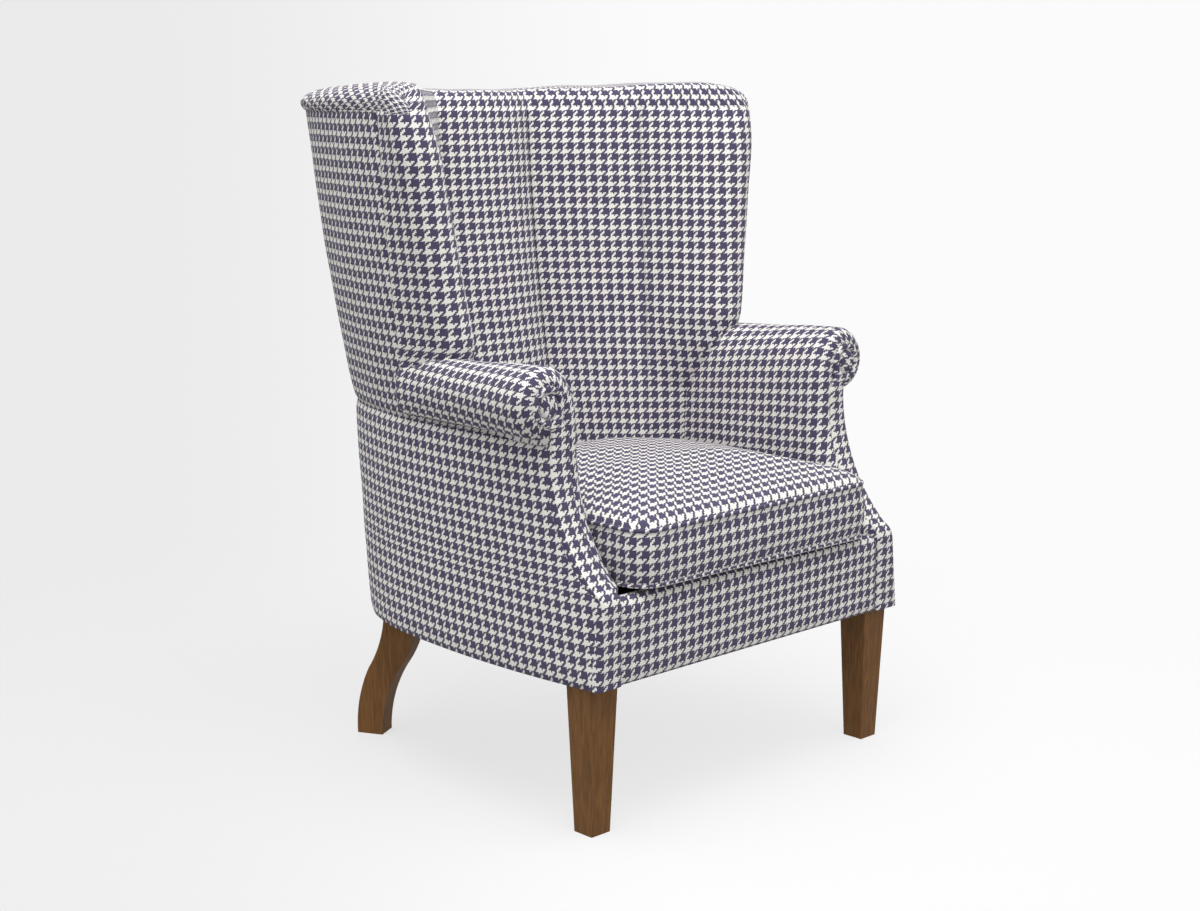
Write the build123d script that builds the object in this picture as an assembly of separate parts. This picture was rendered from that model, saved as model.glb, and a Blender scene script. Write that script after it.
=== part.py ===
from build123d import *
import os
from math import acos, atan2, cos, hypot, pi, radians, sin, tan

# Wing armchair with a wooden frame, springing, stuffed panels and a loose seat cushion.
# Millimetres, +Z up, floor at zero, the sitter faces -Y. Left and right are the sitter's: left is +X.
# A "station" is a distance back from the foremost edge of the cushion.
# Left pieces are modelled and mirrored to the right.

# Heights above the floor
hem_height = 229.0
hem_turn = 3.0
rail_height = 86.0
platform_thickness = 27.0
border_top = 341.0
border_rounding = 9.0
inside_low_height = 560.0
arm_seam_height = 573.0
arm_top_front = 685.0
arm_top_rear = 667.0
top_roll_height = 45.0
top_height = 1085.0

# Outside covering: half widths and stations of its plan at the hem, under the arm roll and at the top
hem_front_width = 345.0
hem_middle_width = 363.0
hem_wing_width = 352.0
waist_front_width = 308.0
waist_middle_width = 343.0
waist_wing_width = 339.5
head_middle_width = 367.0
head_top_width = 384.0
head_middle_height = 800.0
facing_station = 12.0
side_middle_station = 270.0
wing_station = 445.0
back_station_at_hem = 665.0
back_rake = 0.19
corner_radius = 165.0
corner_start = radians(22)
corner_end = radians(86)
wing_heading_at_top = radians(6)
cover_thickness = 6.0
seam_gap = 0.3

# Inside back: seams between its panels, and how far each panel swells in front of them
centre_seam_width = 100.0
centre_seam_low = 545.0
centre_seam_middle = 627.0
centre_seam_top = 652.0
centre_seam_middle_height = 760.0
centre_crown = 18.0
side_seam_low_width = 205.0
side_seam_in = 145.0
side_seam_low = 445.0
side_seam_top = 516.0
side_crown = 6.0
pad_thickness = 58.0

# Wing and the roll over the top
wing_roll_radius = 31.0
wing_roll_in = 26.0
wing_step = 9.0
wing_tuck = 2.0
top_roll_overhang = 10.0
top_roll_round = 26.0
top_roll_slope = 84.0

# Arm: front edge, roll and facing
arm_front_station = 120.0
arm_front_height = 557.0
knee_height = 345.0
knee_bulge_height = 16.0
knee_bulge_station = 5.0
knee_top_height = 369.0
knee_top_station = 30.0
facing_middle_station = 84.0
facing_middle_height = 432.0
facing_thickness = 10.0
facing_inner_width = 294.0
arm_inside_width = 268.0
arm_inside_hollow = 1.5
arm_inside_base_width = 274.0
arm_shoulder_height = 600.0
arm_hollow_share = 0.55
arm_roll_centre_width = 330.0
arm_roll_centre_height = 627.0
arm_roll_outer_width = 388.0
arm_roll_outer_rear_width = 357.0
arm_roll_rear_top_width = 318.0
arm_roll_rear_drop = 8.0
arm_lip_taper = 3.0
scroll_radius = 30.0
scroll_width = 335.0
scroll_height = 625.0

# Wooden frame
rail_thickness = 20.0
rail_inset = 12.0
side_rail_inset = 18.0
arm_post_inner = 288.0
arm_post_thickness = 18.0
arm_post_depth = 52.0
arm_rail_base = 598.0
arm_rail_height = 34.0
arm_rail_inner = 292.0
arm_rail_outer = 330.0
wing_post_width = 24.0
wing_post_depth = 40.0
wing_post_in = 20.0
wing_rail_thickness = 22.0
back_post_inner = 135.0
back_post_width = 30.0
back_post_depth = 32.0
back_post_base_station = 620.0
back_post_rake = 0.18
back_rail_height = 50.0
back_lower_rail_base = 400.0

# Legs
front_leg_width = 312.0
front_leg_station = 55.0
front_leg_top = 54.0
front_leg_foot = 38.0
leg_edge_radius = 1.5
rear_leg_foot_width = 295.0
rear_leg_foot_station = 651.0
rear_leg_splay = radians(28.3)
rear_leg_thickness = 39.0
rear_foot_depth = 45.0
rear_leg_sweep = 52.0
rear_leg_top_depth = 61.0
rear_leg_back_shares = [(0.09, 0.27), (0.43, 0.5), (0.82, 0.69)]
rear_leg_front_shares = [(0.09, 0.23), (0.47, 0.5), (0.82, 0.69)]

# Springing
spring_wire = 4.0
spring_spacing = 54.0
spring_count = 5
spring_swing = 22.0
spring_pitch = 28.0
spring_flat_share = 0.2
spring_bend_share = 0.19
platform_front_gap = 2.0
platform_rear_gap = 10.0
clip_size = 16.0
clip_height = 6.0
webbing_width = 50.0
webbing_thickness = 2.0
webbing_spacing = 62.0
webbing_count = 4

# Seat cushion
cushion_side_gap = 1.0
cushion_rear_gap = 3.5
cushion_side_length = 395.0
cushion_rear_width = 95.0
cushion_edge_top = 454.0
cushion_crown = 493.0
cushion_crown_inset = 150.0
cushion_front_radius = 38.0
cushion_rear_radius = 30.0
cushion_side_draw = 0.5
cushion_rear_draw = 0.33
cushion_clearance = 0.3
boxing_thickness = 4.0
boxing_swell = 3.0
piping_radius = 3.5

# Fasteners and cloth
bolt_diameter = 8.0
bolt_length = 76.0
bolt_in_leg = 34.0
screw_diameter = 5.0
screw_length = 46.0
screw_grip_share = 0.7
screw_lift = 14.0
dowel_diameter = 10.0
dowel_length = 40.0
dowel_depth_share = 0.9
dowel_width_share = 0.6
block_height = 60.0
block_leg = 62.0
dust_cloth = 1.5
dust_inset = 9.0

roll_base = top_height - top_roll_height
side_seam_top_width = head_top_width - side_seam_in
overall_depth = back_station_at_hem + back_rake * (roll_base - hem_height) + top_roll_overhang
front = -overall_depth / 2
rail_base = hem_height + hem_turn
rail_top = rail_base + rail_height
platform_base = rail_top + spring_wire
platform_top = platform_base + platform_thickness
wing_step_height = arm_seam_height + wing_step
wing_seam_station = wing_station - seam_gap - cover_thickness * sin(wing_heading_at_top)
cushion_half_width = arm_inside_width - arm_inside_hollow - piping_radius - cushion_side_gap
cushion_depth = centre_seam_low - centre_crown - piping_radius - cushion_rear_gap
cushion_base = platform_top + cushion_clearance
piping_low = cushion_base + piping_radius
piping_high = cushion_edge_top - piping_radius
front_rail_station = facing_station + facing_thickness
far = 2 * overall_depth
inside_heights = [platform_top, inside_low_height, centre_seam_middle_height, roll_base]

# Centre of the wing's rolled front edge, and of the wing post: height, half width and station
wing_roll_path = [
    (platform_top, 282.0, 468.0),
    (inside_low_height, 284.0, 456.0),
    (640.0, 298.0, 396.0),
    (690.0, 302.0, 381.0),
    (roll_base, head_top_width - wing_roll_in, 406.0),
]
wing_post_path = [
    (rail_top, 326.0, 424.0),
    (690.0, 318.0, 424.0),
    (roll_base, head_top_width - wing_post_in, 428.0),
]


def at(width, station, height):
    """Point at a half width, a station and a height."""
    return Vector(width, front + station, height)


def blend(low, high, share):
    """Value part of the way from low to high."""
    return low + (high - low) * share


def through(low, middle, high, share, middle_share):
    """Parabola through three values at shares 0, middle_share and 1."""
    bend = (middle - blend(low, high, middle_share)) / (middle_share * (middle_share - 1))
    return blend(low, high, share) + bend * share * (share - 1)


def along(path, height):
    """Width and station on a path of (height, width, station) points."""
    for (z0, w0, s0), (z1, w1, s1) in zip(path, path[1:]):
        if height <= z1:
            share = (height - z0) / (z1 - z0)
            return blend(w0, w1, share), blend(s0, s1, share)
    return path[-1][1:]


def circle_through(p, q, r):
    """Centre and radius of the circle through three plan points."""
    ax, ay = q[0] - p[0], q[1] - p[1]
    bx, by = r[0] - p[0], r[1] - p[1]
    cross = 2 * (ax * by - ay * bx)
    a2, b2 = ax * ax + ay * ay, bx * bx + by * by
    ux, uy = (by * a2 - ay * b2) / cross, (ax * b2 - bx * a2) / cross
    return p[0] + ux, p[1] + uy, hypot(ux, uy)


def outside_arcs(height):
    """Arcs (centre, radius, start and end of the outward normal) of the left half of the outside's plan.

    From the front of the arm: the arm, the side behind the wing's seam, the rear corner and half the back.
    """
    low = min((height - hem_height) / (arm_seam_height - hem_height), 1.0)
    nose = (blend(hem_front_width, waist_front_width, low), facing_station)
    middle = (blend(hem_middle_width, waist_middle_width, low), side_middle_station)
    width = blend(hem_wing_width, waist_wing_width, low)
    ax, ay, ar = circle_through(nose, middle, (width, wing_station))
    heading = atan2(wing_station - ay, width - ax)
    arm = (ax, ay, ar, atan2(nose[1] - ay, nose[0] - ax), heading)
    if height > arm_seam_height:
        share = (height - arm_seam_height) / (roll_base - arm_seam_height)
        middle_share = (head_middle_height - arm_seam_height) / (roll_base - arm_seam_height)
        width = through(waist_wing_width, head_middle_width, head_top_width, share, middle_share)
        heading = blend(heading, wing_heading_at_top, share)
    back = back_station_at_hem + back_rake * (height - hem_height)
    bow = tan((pi / 2 - corner_end) / 2)
    reach = back - wing_station + corner_radius * (sin(corner_start) - sin(corner_end))
    reach -= (width - corner_radius * (cos(corner_start) - cos(corner_end))) * bow
    gain = sin(corner_start) - sin(heading) - (cos(heading) - cos(corner_start)) * bow
    radius = reach / gain
    sx, sy = width - radius * cos(heading), wing_station - radius * sin(heading)
    side = (sx, sy, radius, heading, corner_start)
    cx = sx + (radius - corner_radius) * cos(corner_start)
    cy = sy + (radius - corner_radius) * sin(corner_start)
    corner = (cx, cy, corner_radius, corner_start, corner_end)
    back_radius = (cx + corner_radius * cos(corner_end)) / cos(corner_end)
    rear = (0.0, back - back_radius, back_radius, corner_end, pi / 2)
    return arm, side, corner, rear


def arc_point(arc, angle, grow, height):
    """Point on an arc grown outwards by an amount."""
    x, y, r = arc[:3]
    return at(x + (r + grow) * cos(angle), y + (r + grow) * sin(angle), height)


def arc_edge(arc, grow, height):
    """Edge along an arc grown outwards by an amount."""
    start, end = arc[3:]
    angles = (start, (start + end) / 2, end)
    return ThreePointArc(*[arc_point(arc, angle, grow, height) for angle in angles])


def band(arcs, grow_out, grow_in, height):
    """Face between two offsets of a run of arcs."""
    first, last = arcs[0], arcs[-1]
    edges = [arc_edge(arc, grow_out, height) for arc in arcs]
    edges.append(Line(arc_point(last, last[4], grow_out, height), arc_point(last, last[4], grow_in, height)))
    edges += [arc_edge(arc, grow_in, height) for arc in reversed(arcs)]
    inner_start = arc_point(first, first[3], grow_in, height)
    edges.append(Line(inner_start, arc_point(first, first[3], grow_out, height)))
    return make_face(edges)


def whole_back(height):
    """The back's arc from one rear corner to the other, inside the seams."""
    x, y, r, start, end = outside_arcs(height)[3]
    slip = seam_gap / r
    return (x, y, r, start + slip, pi - start - slip)


def inside_seams(height):
    """Plan points of the two left seams of the inside back."""
    share = (height - platform_top) / (roll_base - platform_top)
    middle_share = (centre_seam_middle_height - platform_top) / (roll_base - platform_top)
    centre = through(centre_seam_low, centre_seam_middle, centre_seam_top, share, middle_share)
    side = (blend(side_seam_low_width, side_seam_top_width, share), blend(side_seam_low, side_seam_top, share))
    return (centre_seam_width, centre), side


def tangent_point(point, centre, radius, turn):
    """Where the tangent from a plan point touches a circle, on the side given by turn."""
    dx, dy = point[0] - centre[0], point[1] - centre[1]
    angle = atan2(dy, dx) + turn * acos(radius / hypot(dx, dy))
    return centre[0] + radius * cos(angle), centre[1] + radius * sin(angle)


def roll_edges(outer, inner, centre, radius, height):
    """Edges from an outer point round the wing's rolled front edge to an inner seam."""
    leave = tangent_point(outer, centre, radius, -1)
    land = tangent_point(inner, centre, radius, 1)
    a0 = atan2(leave[1] - centre[1], leave[0] - centre[0])
    a1 = atan2(land[1] - centre[1], land[0] - centre[0])
    a1 -= 2 * pi * (a1 > a0)
    nose = (a0 + a1) / 2
    tip = (centre[0] + radius * cos(nose), centre[1] + radius * sin(nose))
    return [
        Line(at(*outer, height), at(*leave, height)),
        ThreePointArc(at(*leave, height), at(*tip, height), at(*land, height)),
        Line(at(*land, height), at(*inner, height)),
    ]


def behind(point, towards, distance):
    """Plan point at a distance behind a seam, square to the line towards its neighbour."""
    dx, dy = towards[0] - point[0], towards[1] - point[1]
    length = hypot(dx, dy)
    return point[0] - dy / length * distance, point[1] + dx / length * distance


def box_between(low, high):
    """Box between two corners given as width, station and height."""
    size = [high[i] - low[i] for i in range(3)]
    centre = at(*[(high[i] + low[i]) / 2 for i in range(3)])
    return Pos(centre) * Box(*size)


def side_board(points, inner, thickness):
    """Board cut to a side view of (station, height) points, from a half width outwards."""
    outline = Polyline(*[at(inner, s, z) for s, z in points], close=True)
    return extrude(make_face(outline), thickness, dir=(1, 0, 0))


def mirrored(shape):
    """The same piece on the other side of the chair."""
    return mirror(shape, about=Plane.YZ)


def upright(centre, length, diameter):
    """Pin along Z that starts at a point."""
    return Pos(centre) * Cylinder(diameter / 2, length, align=(Align.CENTER, Align.CENTER, Align.MIN))


def pin(start, direction, length, diameter):
    """Pin from a point along a direction."""
    plane = Plane(origin=start, z_dir=direction)
    return extrude(plane * Circle(diameter / 2), length)


# Legs
def front_leg():
    """Square leg that tapers alike on four faces."""
    place = at(front_leg_width, front_leg_station, 0)
    foot = Plane(place) * Rectangle(front_leg_foot, front_leg_foot)
    head = Plane(place + Vector(0, 0, rail_base)) * Rectangle(front_leg_top, front_leg_top)
    leg = loft([foot, head])
    sides = [edge for edge in leg.edges() if edge.length > rail_base / 2]
    return fillet(sides, leg_edge_radius)


def rear_leg_frame():
    """Plane of the rear leg's side view: x outwards and back along the splay, y up."""
    splay = Vector(sin(rear_leg_splay), cos(rear_leg_splay), 0)
    side = Vector(cos(rear_leg_splay), -sin(rear_leg_splay), 0)
    return Plane(origin=at(rear_leg_foot_width, rear_leg_foot_station, 0), x_dir=splay, z_dir=side)


def rear_leg():
    """Sabre leg: upright at the foot, swept in towards the seat."""
    heel = -rear_foot_depth
    crest = -rear_leg_sweep - rear_leg_top_depth
    back = [(-rear_leg_sweep * x, rail_base * z) for x, z in rear_leg_back_shares]
    shin = [(blend(heel, crest, x), rail_base * z) for x, z in rear_leg_front_shares]
    back_low = ThreePointArc((0, 0), back[0], back[1])
    back_high = ThreePointArc(back[1], back[2], (-rear_leg_sweep, rail_base))
    front_high = ThreePointArc((crest, rail_base), shin[2], shin[1])
    front_low = ThreePointArc(shin[1], shin[0], (heel, 0))
    top = Line((-rear_leg_sweep, rail_base), (crest, rail_base))
    foot = Line((heel, 0), (0, 0))
    face = make_face([back_low, back_high, top, front_high, front_low, foot])
    return extrude(rear_leg_frame() * face, -rear_leg_thickness)


def rear_leg_axis():
    """Top of the rear leg, at the middle of its section."""
    middle = -rear_leg_sweep - rear_leg_top_depth / 2
    return rear_leg_frame().from_local_coords(Vector(middle, rail_base, -rear_leg_thickness / 2))


# Seat frame
def seat_rail(arcs, inset):
    """Rail sawn to the hem's curve."""
    face = band(arcs, -inset, -inset - rail_thickness, rail_base)
    return extrude(face, rail_height, dir=(0, 0, 1))


def side_seat_rail():
    """Side rail from behind the facing to the rear corner."""
    arm, side = outside_arcs(hem_height)[:2]
    cut = box_between((0, -far, 0), (far, facing_station + facing_thickness, far))
    return seat_rail([arm, side], side_rail_inset) - cut


def corner_rail():
    """Rail round the rear corner."""
    return seat_rail([outside_arcs(hem_height)[2]], rail_inset)


def rear_seat_rail():
    """Rail across the back."""
    x, y, r, start, end = outside_arcs(hem_height)[3]
    return seat_rail([(x, y, r, start, pi - start)], rail_inset)


def front_seat_rail():
    """Front rail between the arm posts."""
    low = (-arm_post_inner, front_rail_station, rail_base)
    return box_between(low, (arm_post_inner, front_rail_station + rail_thickness, rail_top))


def front_profile_edges(shift, width):
    """Side view of the arm's front, moved back by a shift, from the hem to the arm's top."""
    knee = at(width, facing_station + shift, knee_height)
    knee_top = at(width, knee_top_station + shift, knee_top_height)
    knee_crest = at(width, facing_station + knee_bulge_station + shift, knee_height + knee_bulge_height)
    sweep_middle = at(width, facing_middle_station + shift, facing_middle_height)
    crest = at(width, arm_front_station + shift, arm_front_height)
    return [
        Line(at(width, facing_station + shift, hem_height), knee),
        ThreePointArc(knee, knee_crest, knee_top),
        ThreePointArc(knee_top, sweep_middle, crest),
        Line(crest, at(width, arm_front_station + shift, roll_base)),
    ]


def behind_front(shift):
    """Everything behind the arm's front edge moved back by a shift."""
    edges = front_profile_edges(shift, 0)
    edges.append(Line(at(0, arm_front_station + shift, roll_base), at(0, far, roll_base)))
    edges.append(Line(at(0, far, roll_base), at(0, far, hem_height)))
    edges.append(Line(at(0, far, hem_height), at(0, facing_station + shift, hem_height)))
    return extrude(make_face(edges), far, dir=(1, 0, 0))


def arm_post():
    """Shaped front post that carries the facing and the arm rail."""
    width = arm_post_thickness
    board = box_between((arm_post_inner, 0, rail_base), (arm_post_inner + width, far, arm_rail_base))
    return board & (behind_front(facing_thickness) - behind_front(facing_thickness + arm_post_depth))


def wing_post():
    """Post from the side rail up to the top of the wing."""
    faces = []
    for height, width, station in wing_post_path:
        faces.append(Plane(at(width, station, height)) * Rectangle(wing_post_width, wing_post_depth))
    return loft(faces, ruled=True)


def arm_rail():
    """Rail from the arm post to the wing post."""
    start = arm_front_station + facing_thickness
    end = along(wing_post_path, arm_rail_base)[1] - wing_post_depth / 2
    low = (arm_rail_inner, start, arm_rail_base)
    return box_between(low, (arm_rail_outer, end, arm_rail_base + arm_rail_height))


def back_face_station(height):
    """Station of the front of the back posts."""
    return back_post_base_station + back_post_rake * (height - rail_top)


def raked_board(low, high, inner, thickness):
    """Board between two heights that leans with the back posts."""
    base, crest = back_face_station(low), back_face_station(high)
    points = [(base, low), (base + back_post_depth, low), (crest + back_post_depth, high), (crest, high)]
    return side_board(points, inner, thickness)


def wing_rail():
    """Rail across the corner, from the back post to the top of the wing post."""
    base = roll_base - back_rail_height
    rear = back_face_station(roll_base) + back_post_depth / 2
    start_width = back_post_inner + back_post_width
    wing_width, wing_middle = along(wing_post_path, base)
    dx, dy = wing_width - start_width, wing_middle - rear
    spread = wing_rail_thickness / 2 * hypot(dx, dy) / dx
    points = [
        (start_width, rear - spread),
        (start_width, rear + spread),
        (wing_width, wing_middle + spread),
        (wing_width, wing_middle - spread),
    ]
    face = make_face(Polyline(*[at(*p, base) for p in points], close=True))
    rail = extrude(face, back_rail_height, dir=(0, 0, 1)) - wing_post()
    return rail.solids().sort_by(SortBy.VOLUME)[-1]


def rear_corner_block():
    """Block over the rear leg, inside the corner rail."""
    axis = rear_leg_axis()
    plane = Plane(origin=axis, x_dir=rear_leg_frame().x_dir, z_dir=(0, 0, 1))
    block = extrude(plane * Rectangle(rear_leg_top_depth, block_leg), block_height)
    rails = side_seat_rail() + corner_rail()
    return (block - rails).solids().sort_by(SortBy.VOLUME)[-1]


def front_corner_block():
    """Three-sided block between the front rail and the arm post."""
    corner = (arm_post_inner, front_rail_station + rail_thickness)
    points = [corner, (corner[0], corner[1] + block_leg), (corner[0] - block_leg, corner[1])]
    face = make_face(Polyline(*[at(*p, rail_base) for p in points], close=True))
    return extrude(face, block_height, dir=(0, 0, 1))


# Stuffed panels
def outside_core():
    """Space inside the outside covering below the arm's seam, left half."""
    faces = []
    for height in (hem_height, arm_seam_height):
        arcs = outside_arcs(height)
        first, last = arcs[0], arcs[-1]
        edges = [arc_edge(arc, 0, height) for arc in arcs]
        nose, tail = arc_point(first, first[3], 0, height), arc_point(last, last[4], 0, height)
        edges.append(Line(tail, Vector(0, nose.Y, height)))
        edges.append(Line(Vector(0, nose.Y, height), nose))
        faces.append(make_face(edges))
    return loft(faces, ruled=True)


def outside_arm():
    """Outside covering from the hem to the seam under the arm roll."""
    faces = []
    for height in (hem_height, arm_seam_height):
        faces.append(band(outside_arcs(height)[:3], 0, -cover_thickness, height))
    return loft(faces, ruled=True) & behind_front(facing_thickness)


def outside_wing():
    """Outside covering above that seam, behind the wing."""
    faces = []
    for height in (arm_seam_height + seam_gap, head_middle_height, roll_base):
        faces.append(band(outside_arcs(height)[1:3], 0, -cover_thickness, height))
    return loft(faces, ruled=True)


def outside_back():
    """Outside covering of the back, hem to top."""
    faces = []
    for height in (hem_height, arm_seam_height, head_middle_height, roll_base):
        faces.append(band([whole_back(height)], 0, -cover_thickness, height))
    return loft(faces, ruled=True)


def arm_facing():
    """Curved strip on the front of the arm with its round head."""
    strip = box_between((facing_inner_width, 0, hem_height), (far, far, arm_seam_height)) & outside_core()
    neck = box_between((facing_inner_width, 0, arm_seam_height), (scroll_width, far, scroll_height))
    head = extrude(Plane(at(scroll_width, 0, scroll_height), z_dir=(0, 1, 0)) * Circle(scroll_radius), far)
    layer = behind_front(0) - behind_front(facing_thickness)
    return (strip + neck + head) & layer


def wing_outer(height):
    """Plan point on the outside where the wing's covering is sewn on."""
    arc = outside_arcs(height)[1]
    under = min(max((wing_step_height - height) / (wing_step_height - arm_seam_height), 0.0), 1.0)
    grow = -under * (cover_thickness + seam_gap)
    point = arc_point(arc, arc[3], grow, height)
    return point.X, wing_seam_station


def wing_section(height):
    """Plan of the wing: outer side, rolled front edge, inside face and back."""
    centre = along(wing_roll_path, height)
    seam = inside_seams(height)[1]
    outer = wing_outer(height)
    inner_edge = (outer[0] - cover_thickness - wing_tuck, outer[1])
    heel = behind(seam, (seam[0] - 1, seam[1] + 1), -pad_thickness)
    edges = roll_edges(outer, seam, centre, wing_roll_radius, height)
    edges.append(Line(at(*seam, height), at(*heel, height)))
    edges.append(Line(at(*heel, height), at(*inner_edge, height)))
    edges.append(Line(at(*inner_edge, height), at(*outer, height)))
    return make_face(edges)


def wing():
    """Stuffed wing from the seat to the top, with the rolled front edge."""
    heights = {arm_seam_height, wing_step_height}.union(point[0] for point in wing_roll_path)
    return loft([wing_section(height) for height in sorted(heights)], ruled=True)


def inside_side_section(height):
    """Plan of the inside back's side panel."""
    near, far_seam = inside_seams(height)
    heel = behind(far_seam, (far_seam[0] - 1, far_seam[1] + 1), -pad_thickness)
    root = (near[0], back_face_station(height) - webbing_thickness)
    middle = ((near[0] + far_seam[0]) / 2, (near[1] + far_seam[1]) / 2)
    swell = behind(middle, far_seam, -side_crown)
    edges = [
        ThreePointArc(at(*near, height), at(*swell, height), at(*far_seam, height)),
        Line(at(*far_seam, height), at(*heel, height)),
        Line(at(*heel, height), at(*root, height)),
        Line(at(*root, height), at(*near, height)),
    ]
    return make_face(edges)


def inside_back():
    """Side panel of the inside back."""
    return loft([inside_side_section(height) for height in inside_heights], ruled=True)


def inside_centre_section(height):
    """Plan of the inside back's middle panel."""
    seam = inside_seams(height)[0]
    root = back_face_station(height) - webbing_thickness
    left, right = at(*seam, height), at(-seam[0], seam[1], height)
    back_left, back_right = at(seam[0], root, height), at(-seam[0], root, height)
    nose = at(0, seam[1] - centre_crown, height)
    edges = [
        ThreePointArc(left, nose, right),
        Line(right, back_right),
        Line(back_right, back_left),
        Line(back_left, left),
    ]
    return make_face(edges)


def inside_back_centre():
    """Middle panel of the inside back."""
    return loft([inside_centre_section(height) for height in inside_heights], ruled=True)


def top_roll_section(height, inset, slope):
    """Plan of the roll over back and wings, drawn in by an inset inside and by a slope behind."""
    side_arc, corner, rear = outside_arcs(roll_base)[1:]
    centre = along(wing_roll_path, roll_base)
    near, side = inside_seams(roll_base)
    near_in = (near[0], near[1] + inset)
    side_in = behind(side, (side[0] - 1, side[1] + 1), -inset)
    outer = arc_point(side_arc, side_arc[3], top_roll_overhang - inset, height)
    half_way = (side_arc[3] + side_arc[4]) / 2
    waist = arc_point(side_arc, half_way, top_roll_overhang - (inset + slope) / 2, height)
    turn = arc_point(side_arc, side_arc[4], top_roll_overhang - slope, height)
    half = [ThreePointArc(outer, waist, turn), arc_edge(corner, top_roll_overhang - slope, height)]
    half += roll_edges((outer.X, outer.Y - front), side_in, centre, wing_roll_radius - inset, height)
    half.append(Line(at(*side_in, height), at(*near_in, height)))
    nose = at(0, near_in[1] - centre_crown, height)
    whole_rear = (rear[0], rear[1], rear[2], rear[3], pi - rear[3])
    edges = half + [mirrored(edge) for edge in half]
    edges.append(ThreePointArc(at(*near_in, height), nose, at(-near_in[0], near_in[1], height)))
    edges.append(arc_edge(whole_rear, top_roll_overhang - slope, height))
    return make_face(edges)


def top_roll():
    """Stuffed roll over the top of back and wings: a quarter of an ellipse on every side."""
    faces = []
    for turn in (0, 30, 60, 90):
        height = blend(roll_base, top_height, sin(radians(turn)))
        draw = 1 - cos(radians(turn))
        faces.append(top_roll_section(height, top_roll_round * draw, top_roll_slope * draw))
    return loft(faces)


def arm_section(station, share):
    """Cross section of the inside arm and its roll, share 0 at the front and 1 at the wing."""
    base, crest_z = platform_top, blend(arm_top_front, arm_top_rear, share)
    crest_x = blend(arm_roll_centre_width, arm_roll_rear_top_width, share)
    outer_x = blend(arm_roll_outer_width, arm_roll_outer_rear_width, share)
    middle_z = arm_roll_centre_height - arm_roll_rear_drop * share
    under = arm_seam_height + seam_gap
    shoulder_z = arm_shoulder_height
    lip = waist_wing_width - arm_lip_taper * share
    quarter = cos(pi / 4)
    foot = at(arm_inside_base_width, station, base)
    waist = at(arm_inside_width - arm_inside_hollow, station, blend(base, shoulder_z, arm_hollow_share))
    shoulder = at(arm_inside_width, station, shoulder_z)
    inner_x = crest_x - arm_inside_width
    rise = crest_z - shoulder_z
    inner_mid = at(crest_x - inner_x * quarter, station, shoulder_z + rise * quarter)
    crest = at(crest_x, station, crest_z)
    outer_mid = at(
        crest_x + (outer_x - crest_x) * quarter, station, middle_z + (crest_z - middle_z) * quarter
    )
    outer = at(outer_x, station, middle_z)
    under_mid = at(lip + (outer_x - lip) * quarter, station, middle_z - (middle_z - under) * quarter)
    tuck = at(lip, station, under)
    back_top, back_foot = at(arm_post_inner, station, under), at(arm_post_inner, station, base)
    edges = [
        ThreePointArc(foot, waist, shoulder),
        ThreePointArc(shoulder, inner_mid, crest),
        ThreePointArc(crest, outer_mid, outer),
        ThreePointArc(outer, under_mid, tuck),
        Line(tuck, back_top),
        Line(back_top, back_foot),
        Line(back_foot, foot),
    ]
    return make_face(edges)


def arm_pad():
    """Stuffed inside arm and roll, from the facing to the wing."""
    ahead = (facing_station - arm_front_station) / (wing_station - arm_front_station)
    faces = [arm_section(facing_station, ahead), arm_section(wing_seam_station, 1)]
    body = loft(faces, ruled=True) & behind_front(0)
    body = body - arm_facing() - arm_post() - arm_rail() - wing_post() - wing()
    return body.solids().sort_by(SortBy.VOLUME)[-1]


def front_border():
    """Stuffed strip across the front, rounded at the top."""
    half = facing_inner_width - seam_gap
    rounding = border_rounding
    back_edge = front_rail_station
    low, high = at(-half, facing_station, hem_height), at(-half, facing_station, border_top - rounding)
    crown = at(-half, facing_station + rounding * (1 - cos(pi / 4)), border_top - rounding * (1 - cos(pi / 4)))
    ledge = at(-half, facing_station + rounding, border_top)
    heel, foot = at(-half, back_edge, border_top), at(-half, back_edge, hem_height)
    edges = [
        Line(low, high),
        ThreePointArc(high, crown, ledge),
        Line(ledge, heel),
        Line(heel, foot),
        Line(foot, low),
    ]
    return extrude(make_face(edges), 2 * half, dir=(1, 0, 0))


def seat_platform():
    """Stuffed platform on the springs."""
    side = arm_post_inner - 2 * seam_gap
    back = back_face_station(platform_top) - platform_rear_gap
    half = [(side, front_rail_station + platform_front_gap), (side, wing_station), (back_post_inner, back)]
    outline = half + [(-x, s) for x, s in reversed(half)]
    face = make_face(Polyline(*[at(x, s, platform_base) for x, s in outline], close=True))
    return extrude(face, platform_top - platform_base, dir=(0, 0, 1))


def dust_cover():
    """Cloth tacked under the rails, cut round the legs."""
    arcs = outside_arcs(hem_height)
    edges = [arc_edge(arc, -dust_inset, rail_base - dust_cloth) for arc in arcs]
    first, last = arcs[0], arcs[-1]
    nose = arc_point(first, first[3], -dust_inset, rail_base - dust_cloth)
    tail = arc_point(last, last[4], -dust_inset, rail_base - dust_cloth)
    edges.append(Line(tail, Vector(0, nose.Y, nose.Z)))
    edges.append(Line(Vector(0, nose.Y, nose.Z), nose))
    half = extrude(make_face(edges), dust_cloth, dir=(0, 0, 1))
    ahead = box_between((0, -far, 0), (far, front_rail_station, far))
    half = half - ahead - front_leg() - rear_leg()
    return half + mirrored(half)


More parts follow.
